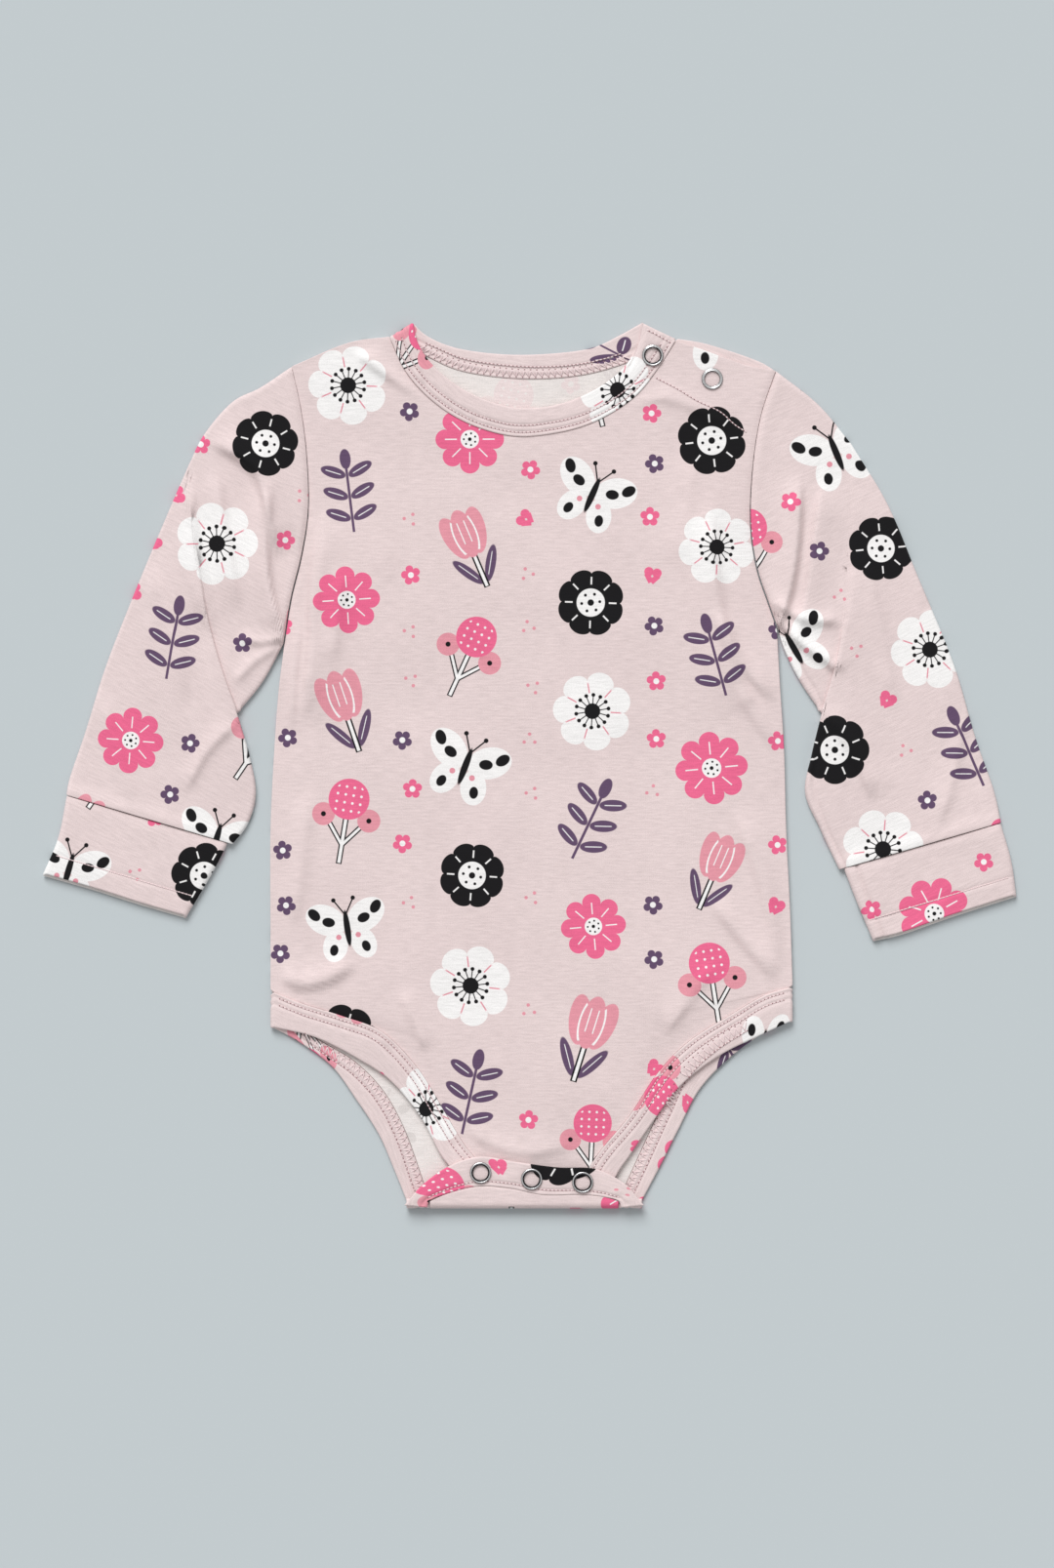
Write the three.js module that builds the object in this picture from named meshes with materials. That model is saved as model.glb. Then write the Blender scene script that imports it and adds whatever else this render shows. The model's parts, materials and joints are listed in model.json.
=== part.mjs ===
// A baby's long-sleeved bodysuit, laid flat on its back. Millimetres, +Z up, +Y towards the neck.
// The origin is on the floor under the middle of the outline. Left and right are those seen from above.
import * as THREE from "three";
import { mergeVertices } from "three/addons/utils/BufferGeometryUtils.js";

// Wall thicknesses
const JERSEY = 1.2;
const SLEEVE_JERSEY = 1;
const BINDING = 1.8;
const CUFF_CLOTH = 1.4;

// Space left between two pieces that are sewn together
const SEAM_GAP = 0.3;

// Height of each layer's middle above the floor
const BACK_Z = JERSEY / 2;
const BACK_BINDING_Z = BINDING / 2;
const FRONT_Z = BACK_Z + JERSEY + SEAM_GAP;
const FRONT_BINDING_Z = 3.1;
const FLAP_Z = 5.2;
const SHOULDER_LIFT = 0.6; // the front's right shoulder edge passes over the placket strip
const FRONT_CROWN = 1.4;

// Sleeves and cuffs, each a tube pressed flat
const SLEEVE_BACK_Z = SLEEVE_JERSEY / 2;
const SLEEVE_FRONT_Z = 2.1;
const SLEEVE_CROWN = 0.6;
const CUFF_BACK_Z = CUFF_CLOTH / 2;
const CUFF_FRONT_Z = 2.9;
const EDGE_BEND = 1.6; // how far in from its edge a flat tube reaches its full height
const ELBOW_STEP = 2.1; // how far the forearm stands above the upper arm at the elbow fold
const ELBOW_REACH = 7; // rows over which that height fades towards the cuff
const ELBOW_SLOPE = 0.25; // rows on each side of the fold that its step takes

// Ring snaps
const SNAP_RADIUS = 5;
const SNAP_HOLE = 3.3;
const SNAP_HEIGHT = 1.1;
const SNAP_SEGMENTS = 20;
const SNAP_PROFILE = 6;

// Numbers of steps in the meshes
const NECK_STEPS = 20;
const BACK_NECK_STEPS = 12;
const SHOULDER_STEPS = 4;
const ARMHOLE_STEPS = 10;
const SIDE_STEPS = 10;
const LEG_STEPS = 12;
const UPPER_ARM_STEPS = 7;
const FOREARM_STEPS = 11;
const CUFF_STEPS = 4;
const FOLD_STEPS = 4;
const BINDING_STEPS = 2;
const CROTCH_STEPS = 24;

// Outlines on the floor. Each row is x, y.
const ARMHOLE_LEFT = [[-112, 188], [-108, 170], [-105, 148], [-104, 120], [-107, 99], [-112, 78], [-115.6, 56]];
const ARMHOLE_RIGHT = [[116, 186], [109, 165], [105, 140], [104, 112], [107, 92], [112, 77], [116.6, 64]];
const SHOULDER_LEFT = [[-66, 202], [-84, 199.5], [-112, 188]];
const SHOULDER_RIGHT = [[69, 200], [81, 196], [104, 188], [116, 186]];
const SIDE_LEFT = [[-115.6, 56], [-118, 37], [-120, 11], [-122, -30], [-122, -76], [-122, -106]];
const SIDE_RIGHT = [[116.6, 64], [118, 39], [120, 7], [121, -30], [123, -72], [124, -104]];

const NECK_FRONT_SEAM = [
  [-66, 202], [-58, 185], [-45, 171], [-29, 161], [-8, 155],
  [10, 156], [29, 161], [49, 173], [60, 186], [69, 200],
];
const NECK_FRONT_EDGE = [
  [-55, 208.6], [-52, 198], [-44, 187], [-29, 176], [-10, 169],
  [8, 169], [27, 175], [43, 186], [51, 198], [53, 208.6],
];
const NECK_BACK_SEAM = [[-66, 202], [-49, 193], [-33, 186], [-2, 182], [26, 184], [47, 190], [59, 195.4]];
const NECK_BACK_END = [69, 201];
const NECK_BACK_EDGE = [[-55, 208.6], [-49, 203], [-37, 197.5], [-15, 194], [8, 194], [30, 197], [43, 203], [53, 208.6]];

const PLACKET_TOP = [[70, 201], [82, 199], [109, 190], [115, 186.5]];
const PLACKET_LOW = [[59, 195.4], [78, 188], [104, 178.5], [111.5, 175.5]];

const LEG_SEAM_FRONT_LEFT = [
  [-122, -106], [-107, -112], [-88, -118], [-70, -125], [-53, -142], [-40, -163], [-31, -178], [-22, -190], [-18, -203],
];
const LEG_EDGE_FRONT_LEFT = [
  [-122, -123], [-101, -128], [-81, -138], [-66, -148], [-51, -166], [-42, -183], [-35, -193], [-32, -203],
];
const LEG_SEAM_FRONT_RIGHT = [
  [124, -104], [111, -108], [97, -116], [75, -130], [61, -144], [47, -165], [33, -182], [28, -190], [25, -203],
];
const LEG_EDGE_FRONT_RIGHT = [
  [124, -120], [111, -126], [89, -137], [71, -151], [58, -168], [47, -184], [41, -193], [38, -203],
];
const LEG_EDGE_BACK_LEFT = [[-122, -123], [-109, -130], [-93, -142], [-82, -157], [-71, -174], [-64, -190], [-58, -205]];
const LEG_SEAM_BACK_LEFT = [[-122, -106], [-112, -121], [-98, -130], [-83, -139], [-70, -152], [-60, -169], [-47, -205]];
const LEG_EDGE_BACK_RIGHT = [[124, -120], [109, -127], [93, -139], [80, -153], [70, -172], [61, -190], [53, -205]];
const LEG_SEAM_BACK_RIGHT = [[124, -104], [109, -115], [86, -129], [72, -142], [63, -159], [52, -183], [42, -205]];

// The crotch extension of the back, folded up over the front
const CROTCH_BOTTOM = -208.6;
const FLAP_SEAM = [[-47, -205], [-38, -201.2], [-24, -198], [-9, -199], [6, -202], [26, -202], [36, -203.2], [42, -205]];
const FLAP_EDGE = [[-59, -207], [-50, -197], [-37, -188], [-24, -184], [-6, -186.5], [13, -189], [32, -190], [45, -197], [54, -207]];
const FLAP_SEAM_ENDS = { left: [-48.2, -208], right: [43.2, -208] };
const FLAP_EASE = 0.985; // the flap's own cloth is this much narrower than its binding's opening

const SLEEVES = {
  left: {
    outer: [
      [[-112, 188], [-127, 178], [-139, 172], [-153, 156], [-160, 142]],
      [[-160, 142], [-173, 112], [-188, 76], [-200, 45], [-209, 16], [-217, -8], [-218, -14]],
    ],
    inner: [
      [[-116.3, 57], [-126, 39], [-138, 24]],
      [[-138, 24], [-132, 4], [-129, -14], [-133, -28], [-140, -37]],
    ],
    cuffSides: [[[-218, -14.5], [-222, -34], [-229.4, -52]], [[-140, -37.5], [-148, -50], [-162, -72]]],
    hem: [[-229.4, -52], [-205, -59], [-183, -66], [-162, -72]],
  },
  right: {
    outer: [
      [[116, 186], [136, 170], [151, 152]],
      [[151, 152], [168, 124], [182, 91], [200, 47], [210, 13], [219, -13], [222, -27]],
    ],
    inner: [
      [[117.4, 65], [120.6, 54], [128, 39], [138, 24]],
      [[138, 24], [133, 4], [130, -13], [137, -30], [146, -49]],
    ],
    cuffSides: [[[146, -49.5], [153, -64], [162, -83]], [[222, -27.5], [227, -45], [229.4, -62]]],
    hem: [[162, -83], [175, -80], [198, -72], [229.4, -62]],
  },
};

// Largest folds, as soft ridges from one end to the other
const FRONT_FOLDS = [
  { name: "left of the neck", from: [-79, 196], to: [-51, 175], height: 0.8, width: 7 },
  { name: "right of the neck", from: [44, 169], to: [93, 158], height: 0.8, width: 8 },
  { name: "left underarm", from: [-102, 89], to: [-104, 43], height: 1.2, width: 9 },
  { name: "right underarm", from: [97, 94], to: [105, 55], height: 1, width: 9 },
  { name: "right side", from: [92, 49], to: [112, 16], height: 0.8, width: 8 },
  { name: "above the left leg", from: [-115, -103], to: [-84, -92], height: 0.8, width: 8 },
  { name: "above the right leg", from: [99, -26], to: [116, -88], height: 0.8, width: 10 },
];
const SLEEVE_FOLDS = [
  { name: "left sleeve head", from: [-136, 150], to: [-117, 83], height: 0.9, width: 8 },
  { name: "left upper arm", from: [-150, 141], to: [-134, 106], height: 0.5, width: 6 },
  { name: "right sleeve head", from: [127, 113], to: [119, 70], height: 0.9, width: 8 },
];

const SHOULDER_SNAPS = [
  { x: 58, y: 193, seat: FRONT_BINDING_Z + BINDING / 2 },
  { x: 86, y: 182, seat: FRONT_Z + SHOULDER_LIFT + JERSEY / 2 },
];
const CROTCH_SNAPS = [
  { x: -23, y: -191.5 },
  { x: 1, y: -194.5 },
  { x: 25, y: -196 },
].map((snap) => ({ ...snap, seat: FLAP_Z + BINDING / 2 }));

const cloth = new THREE.MeshStandardMaterial({ color: 0xe2d0cf, roughness: 0.95, metalness: 0 });
const wrongSide = new THREE.MeshStandardMaterial({ color: 0xe9dedd, roughness: 0.95, metalness: 0 });
const trim = new THREE.MeshStandardMaterial({ color: 0xdecac9, roughness: 0.92, metalness: 0 });
const steel = new THREE.MeshStandardMaterial({ color: 0x77777b, roughness: 0.35, metalness: 0.9 });

const range = (count) => Array.from({ length: count }, (_, i) => i);
const flat = ([x, y]) => new THREE.Vector3(x, y, 0);
const smooth = (t) => THREE.MathUtils.smoothstep(t, 0, 1);

// Evenly spaced points, steps + 1 of them, on the smooth curve through an outline's rows.
function sample(outline, steps) {
  return new THREE.CatmullRomCurve3(outline.map(flat), false, "centripetal").getSpacedPoints(steps);
}

// Several runs of points end to end, with each shared corner kept once.
function joined(...runs) {
  return runs.flatMap((run, i) => (i ? run.slice(1) : run));
}

// The point at a place along a run, counted in steps.
function at(run, place) {
  const i = Math.min(Math.floor(place), run.length - 2);
  return run[i].clone().lerp(run[i + 1], place - i);
}

// A surface between four edges: left and right run down it, top and bottom run across it.
function surface(left, right, top, bottom) {
  const down = left.length - 1;
  const wide = top.length - 1;
  return (u, row) => {
    const v = row / down;
    const across = at(left, row).multiplyScalar(1 - u).addScaledVector(at(right, row), u);
    const along = at(top, u * wide).multiplyScalar(1 - v).addScaledVector(at(bottom, u * wide), v);
    const corners = top[0].clone().multiplyScalar((1 - u) * (1 - v));
    corners.addScaledVector(top[wide], u * (1 - v));
    corners.addScaledVector(bottom[0], (1 - u) * v);
    corners.addScaledVector(bottom[wide], u * v);
    return across.add(along).sub(corners);
  };
}

// A grid's rim drawn in by half a seam gap, its two ends only where sides is false.
function drawnIn(grid, sides = true) {
  const step = (from, towards) => {
    const way = towards.clone().sub(from).normalize();
    return from.clone().addScaledVector(way, SEAM_GAP / 2);
  };
  const last = grid.length - 1;
  const ends = grid.map((row, j) => {
    if (j !== 0 && j !== last) return row;
    return row.map((point, i) => step(point, grid[j ? last - 1 : 1][i]));
  });
  if (!sides) return ends;
  return ends.map((row) => {
    const end = row.length - 1;
    return row.map((point, i) => (i !== 0 && i !== end ? point : step(point, row[i ? end - 1 : 1])));
  });
}

// A closed wall of cloth round a grid of points on its middle surface. With closed, each row is a ring.
function wall(grid, thickness, closed = false) {
  const rows = grid.length;
  const cols = grid[0].length;
  const after = (i) => (closed ? (i + 1) % cols : Math.min(i + 1, cols - 1));
  const before = (i) => (closed ? (i + cols - 1) % cols : Math.max(i - 1, 0));
  const positions = [];
  for (const side of [thickness / 2, -thickness / 2]) {
    grid.forEach((row, j) => {
      row.forEach((point, i) => {
        const along = grid[Math.min(j + 1, rows - 1)][i].clone().sub(grid[Math.max(j - 1, 0)][i]);
        const across = row[after(i)].clone().sub(row[before(i)]);
        const normal = along.cross(across).normalize();
        positions.push(...point.clone().addScaledVector(normal, side).toArray());
      });
    });
  }
  const id = (side, j, i) => side * rows * cols + j * cols + i;
  const faces = [];
  const quad = (a, b, c, d) => faces.push(a, b, c, a, c, d);
  const last = closed ? cols : cols - 1;
  for (let j = 0; j < rows - 1; j += 1) {
    for (let i = 0; i < last; i += 1) {
      quad(id(0, j, i), id(0, j + 1, i), id(0, j + 1, after(i)), id(0, j, after(i)));
      quad(id(1, j, i), id(1, j, after(i)), id(1, j + 1, after(i)), id(1, j + 1, i));
    }
  }
  for (let i = 0; i < last; i += 1) {
    quad(id(0, 0, i), id(0, 0, after(i)), id(1, 0, after(i)), id(1, 0, i));
    quad(id(0, rows - 1, i), id(1, rows - 1, i), id(1, rows - 1, after(i)), id(0, rows - 1, after(i)));
  }
  for (let j = 0; j < rows - 1 && !closed; j += 1) {
    quad(id(0, j, 0), id(1, j, 0), id(1, j + 1, 0), id(0, j + 1, 0));
    quad(id(0, j, cols - 1), id(0, j + 1, cols - 1), id(1, j + 1, cols - 1), id(1, j, cols - 1));
  }
  const geometry = new THREE.BufferGeometry();
  geometry.setAttribute("position", new THREE.Float32BufferAttribute(positions, 3));
  geometry.setIndex(faces);
  return geometry;
}

// How high a point is raised by soft ridges, each fading out at its two ends.
function relief(point, folds) {
  return folds.reduce((sum, fold) => {
    const line = new THREE.Line3(flat(fold.from), flat(fold.to));
    const plan = new THREE.Vector3(point.x, point.y, 0);
    const place = line.closestPointToPointParameter(plan, true);
    const off = line.at(place, new THREE.Vector3()).distanceTo(plan);
    return sum + fold.height * Math.exp(-((off / fold.width) ** 2));
  }, 0);
}

// Rows that carry a layer round a fold, from one row to another under or over it, bulging outwards between them.
function roundFold(from, to, outward, fromZ, toZ) {
  const radius = Math.abs(fromZ - toZ) / 2;
  return range(FOLD_STEPS + 1).map((k) => {
    const turn = (Math.PI * k) / FOLD_STEPS;
    const z = (fromZ + toZ) / 2 + ((fromZ - toZ) / 2) * Math.cos(turn);
    return from.map((point, i) =>
      point.clone().lerp(to[i], k / FOLD_STEPS).addScaledVector(outward, radius * Math.sin(turn)).setZ(z),
    );
  });
}

// A strip between its sewn edge and its free edge: rows run along it.
function strip(seam, edge, steps, z) {
  const from = sample(seam, steps);
  const to = sample(edge, steps);
  return from.map((point, j) =>
    range(BINDING_STEPS + 1).map((i) => point.clone().lerp(to[j], i / BINDING_STEPS).setZ(z)),
  );
}

// A binding that runs along the front, folds over at the garment's edge and runs back under it.
function foldedBinding(front, back, outward) {
  const bulge = (FRONT_BINDING_Z - BACK_BINDING_Z + BINDING) / 2;
  const heldBack = (row, before) =>
    row.map((point, i) => {
      const way = before[i].clone().sub(point).normalize();
      return point.clone().addScaledVector(way, bulge / Math.abs(way.dot(outward)));
    });
  const last = front.length - 1;
  const over = heldBack(front[last], front[last - 1]);
  const under = heldBack(back[0], back[1]);
  const turn = roundFold(over, under, outward, FRONT_BINDING_Z, BACK_BINDING_Z);
  return wall(drawnIn([...front.slice(0, -1), ...turn, ...back.slice(1)]), BINDING);
}

function neckband() {
  const backSeam = [...NECK_BACK_SEAM, NECK_BACK_END];
  const front = strip(NECK_FRONT_SEAM, NECK_FRONT_EDGE, NECK_STEPS, FRONT_BINDING_Z).reverse();
  const back = strip(backSeam, NECK_BACK_EDGE, BACK_NECK_STEPS, BACK_BINDING_Z);
  const foldLine = flat(NECK_FRONT_EDGE[0]).sub(flat(NECK_FRONT_SEAM[0])).normalize();
  return foldedBinding(front, back, new THREE.Vector3(-foldLine.y, foldLine.x, 0));
}

function legBinding(frontSeam, frontEdge, backSeam, backEdge, outward) {
  const front = strip(frontSeam, frontEdge, LEG_STEPS, FRONT_BINDING_Z).reverse();
  const back = strip(backSeam, backEdge, LEG_STEPS, BACK_BINDING_Z);
  return foldedBinding(front, back, new THREE.Vector3(outward, 0, 0));
}

function crotchBinding() {
  const seam = [FLAP_SEAM_ENDS.left, ...FLAP_SEAM, FLAP_SEAM_ENDS.right];
  return wall(drawnIn(strip(seam, FLAP_EDGE, CROTCH_STEPS, FLAP_Z)), BINDING);
}

function shoulderPlacket() {
  const grid = strip(PLACKET_TOP, PLACKET_LOW, SHOULDER_STEPS, BACK_BINDING_Z);
  return wall(drawnIn(grid), BINDING);
}

function frontPanel() {
  const top = sample(NECK_FRONT_SEAM, NECK_STEPS);
  const left = joined(
    sample(SHOULDER_LEFT, SHOULDER_STEPS),
    sample(ARMHOLE_LEFT, ARMHOLE_STEPS),
    sample(SIDE_LEFT, SIDE_STEPS),
    sample(LEG_SEAM_FRONT_LEFT, LEG_STEPS),
  );
  const right = joined(
    sample(SHOULDER_RIGHT, SHOULDER_STEPS),
    sample(ARMHOLE_RIGHT, ARMHOLE_STEPS),
    sample(SIDE_RIGHT, SIDE_STEPS),
    sample(LEG_SEAM_FRONT_RIGHT, LEG_STEPS),
  );
  const bottom = range(NECK_STEPS + 1).map((i) =>
    left[left.length - 1].clone().lerp(right[right.length - 1], i / NECK_STEPS),
  );
  const plan = surface(left, right, top, bottom);
  const rows = left.length - 1;
  const grid = range(rows + 1).map((row) =>
    range(NECK_STEPS + 1).map((i) => {
      const u = i / NECK_STEPS;
      const v = row / rows;
      const point = plan(u, row);
      const inside = smooth(4 * u * (1 - u)) * smooth(6 * (v - 0.12)) * smooth(5 * (1 - v));
      const lift = SHOULDER_LIFT * smooth(3 * u) * smooth(5 * (0.4 - v));
      return point.setZ(FRONT_Z + lift + inside * FRONT_CROWN + smooth(8 * inside) * relief(point, FRONT_FOLDS));
    }),
  );
  return wall(drawnIn(grid), JERSEY);
}

function backPanel() {
  const top = sample(NECK_BACK_SEAM, BACK_NECK_STEPS);
  const left = joined(
    sample(SHOULDER_LEFT, SHOULDER_STEPS),
    sample(ARMHOLE_LEFT, ARMHOLE_STEPS),
    sample(SIDE_LEFT, SIDE_STEPS),
    sample(LEG_SEAM_BACK_LEFT, LEG_STEPS),
  );
  const armhole = [PLACKET_LOW[PLACKET_LOW.length - 1], ...ARMHOLE_RIGHT.slice(1)];
  const right = joined(
    sample(PLACKET_LOW, SHOULDER_STEPS),
    sample(armhole, ARMHOLE_STEPS),
    sample(SIDE_RIGHT, SIDE_STEPS),
    sample(LEG_SEAM_BACK_RIGHT, LEG_STEPS),
  );
  const bottom = range(BACK_NECK_STEPS + 1).map((i) =>
    left[left.length - 1].clone().lerp(right[right.length - 1], i / BACK_NECK_STEPS),
  );
  const plan = surface(left, right, top, bottom);
  const rows = left.length - 1;
  const body = range(rows).map((row) =>
    range(BACK_NECK_STEPS + 1).map((i) => plan(i / BACK_NECK_STEPS, row).setZ(BACK_Z)),
  );
  const radius = (FLAP_Z - BACK_Z) / 2;
  const foldY = CROTCH_BOTTOM + radius + JERSEY / 2;
  const foldLine = bottom.map((point) => new THREE.Vector3(point.x * FLAP_EASE, foldY, 0));
  const turn = roundFold(foldLine, foldLine, new THREE.Vector3(0, -1, 0), BACK_Z, FLAP_Z);
  const edge = sample(FLAP_SEAM, BACK_NECK_STEPS).map((point) => point.setX(point.x * FLAP_EASE));
  const flap = [0.5, 1].map((part) =>
    foldLine.map((point, i) => point.clone().lerp(edge[i], part).setZ(FLAP_Z)),
  );
  return wall(drawnIn([...body, ...turn, ...flap]), JERSEY);
}

// The middle surface of a tube pressed flat: each ring runs over the front, then back under it.
function flatTube(plan, rows, cloth, backZ, frontZ) {
  const edgeZ = (backZ + frontZ(0, 0)) / 2;
  return rows.map((row) => {
    const width = plan(0, row).distanceTo(plan(1, row));
    const margin = cloth / 2 / width;
    const bend = EDGE_BEND / width;
    const rim = [margin, margin + bend * 0.3, margin + bend];
    const level = range(ARMHOLE_STEPS - 1).map((i) => (i + 1) / ARMHOLE_STEPS);
    const places = [...rim, ...level, ...rim.map((u) => 1 - u).reverse()];
    const rise = (u) => {
      const inside = Math.min(1, (Math.min(u, 1 - u) - margin) / bend);
      return Math.sqrt(Math.max(0, 1 - (1 - inside) ** 2));
    };
    const over = places.map((u) => plan(u, row).setZ(edgeZ + (frontZ(u, row) - edgeZ) * rise(u)));
    const under = places.slice(1, -1).map((u) => plan(u, row).setZ(edgeZ - (edgeZ - backZ) * rise(u)));
    return [...over, ...under.reverse()];
  });
}

function sleeve(side) {
  const { outer, inner } = SLEEVES[side];
  const run = ([upper, fore]) => joined(sample(upper, UPPER_ARM_STEPS), sample(fore, FOREARM_STEPS));
  const outerEdge = run(outer);
  const innerEdge = run(inner);
  const end = outerEdge.length - 1;
  const cuffSeam = range(ARMHOLE_STEPS + 1).map((i) =>
    outerEdge[end].clone().lerp(innerEdge[end], i / ARMHOLE_STEPS),
  );
  const armhole = sample(side === "left" ? ARMHOLE_LEFT : ARMHOLE_RIGHT, ARMHOLE_STEPS);
  const plan =
    side === "left"
      ? surface(outerEdge, innerEdge, armhole, cuffSeam)
      : surface(innerEdge, outerEdge, armhole.reverse(), cuffSeam.reverse());
  const height = (u, row) => {
    const towardsBody = side === "left" ? u : 1 - u;
    const past = row - UPPER_ARM_STEPS;
    const step = past > 0 ? ELBOW_STEP * Math.exp(-((past / ELBOW_REACH) ** 2)) * (0.25 + 0.75 * towardsBody) : 0;
    const crown = SLEEVE_CROWN * smooth(4 * u * (1 - u));
    return SLEEVE_FRONT_Z + crown + step + smooth(row / 2) * relief(plan(u, row), SLEEVE_FOLDS);
  };
  const rows = [
    ...range(UPPER_ARM_STEPS),
    UPPER_ARM_STEPS - ELBOW_SLOPE,
    UPPER_ARM_STEPS + ELBOW_SLOPE,
    ...range(FOREARM_STEPS).map((i) => UPPER_ARM_STEPS + 1 + i),
  ];
  const rings = flatTube(plan, rows, SLEEVE_JERSEY, SLEEVE_BACK_Z, height);
  return wall(drawnIn(rings, false), SLEEVE_JERSEY, true);
}

function cuff(side) {
  const { cuffSides, hem } = SLEEVES[side];
  const [left, right] = cuffSides.map((edge) => sample(edge, CUFF_STEPS));
  const bottom = sample(hem, ARMHOLE_STEPS);
  const top = range(ARMHOLE_STEPS + 1).map((i) => left[0].clone().lerp(right[0], i / ARMHOLE_STEPS));
  const plan = surface(left, right, top, bottom);
  const grid = flatTube(plan, range(CUFF_STEPS + 1), CUFF_CLOTH, CUFF_BACK_Z, () => CUFF_FRONT_Z);
  return wall(drawnIn(grid, false), CUFF_CLOTH, true);
}

// A rounded ring, lying on its seat.
function ringSnap() {
  const middle = (SNAP_RADIUS + SNAP_HOLE) / 2;
  const half = (SNAP_RADIUS - SNAP_HOLE) / 2;
  const profile = range(SNAP_PROFILE + 1).map((i) => {
    const turn = (2 * Math.PI * (i % SNAP_PROFILE)) / SNAP_PROFILE;
    return new THREE.Vector2(middle + half * Math.cos(turn), (SNAP_HEIGHT / 2) * (1 + Math.sin(turn)));
  });
  const ring = new THREE.LatheGeometry(profile, SNAP_SEGMENTS).rotateX(Math.PI / 2);
  ring.deleteAttribute("normal");
  ring.deleteAttribute("uv");
  return mergeVertices(ring, 1e-4);
}

function piece(name, geometry, material) {
  geometry.computeVertexNormals();
  const mesh = new THREE.Mesh(geometry, material);
  mesh.name = name;
  return mesh;
}

function snap(name, { x, y, seat }) {
  const mesh = piece(name, ringSnap(), steel);
  mesh.position.set(x, y, seat + SEAM_GAP);
  return mesh;
}

const body = new THREE.Group();
body.add(piece("back_panel", backPanel(), wrongSide), piece("front_panel", frontPanel(), cloth));

const sleeves = new THREE.Group();
for (const side of ["left", "right"]) {
  sleeves.add(piece("sleeve_" + side, sleeve(side), cloth), piece("cuff_" + side, cuff(side), cloth));
}

const bindings = new THREE.Group();
bindings.add(
  piece("neckband", neckband(), trim),
  piece("shoulder_placket", shoulderPlacket(), trim),
  piece(
    "leg_binding_left",
    legBinding(LEG_SEAM_FRONT_LEFT, LEG_EDGE_FRONT_LEFT, LEG_SEAM_BACK_LEFT, LEG_EDGE_BACK_LEFT, -1),
    trim,
  ),
  piece(
    "leg_binding_right",
    legBinding(LEG_SEAM_FRONT_RIGHT, LEG_EDGE_FRONT_RIGHT, LEG_SEAM_BACK_RIGHT, LEG_EDGE_BACK_RIGHT, 1),
    trim,
  ),
  piece("crotch_binding", crotchBinding(), trim),
);

const snaps = new THREE.Group();
snaps.add(
  ...SHOULDER_SNAPS.map((place, i) => snap("shoulder_snap_" + (i + 1), place)),
  ...CROTCH_SNAPS.map((place, i) => snap("crotch_snap_" + (i + 1), place)),
);

const onesie = new THREE.Group();
onesie.add(body, sleeves, bindings, snaps);

export default onesie;
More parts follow.
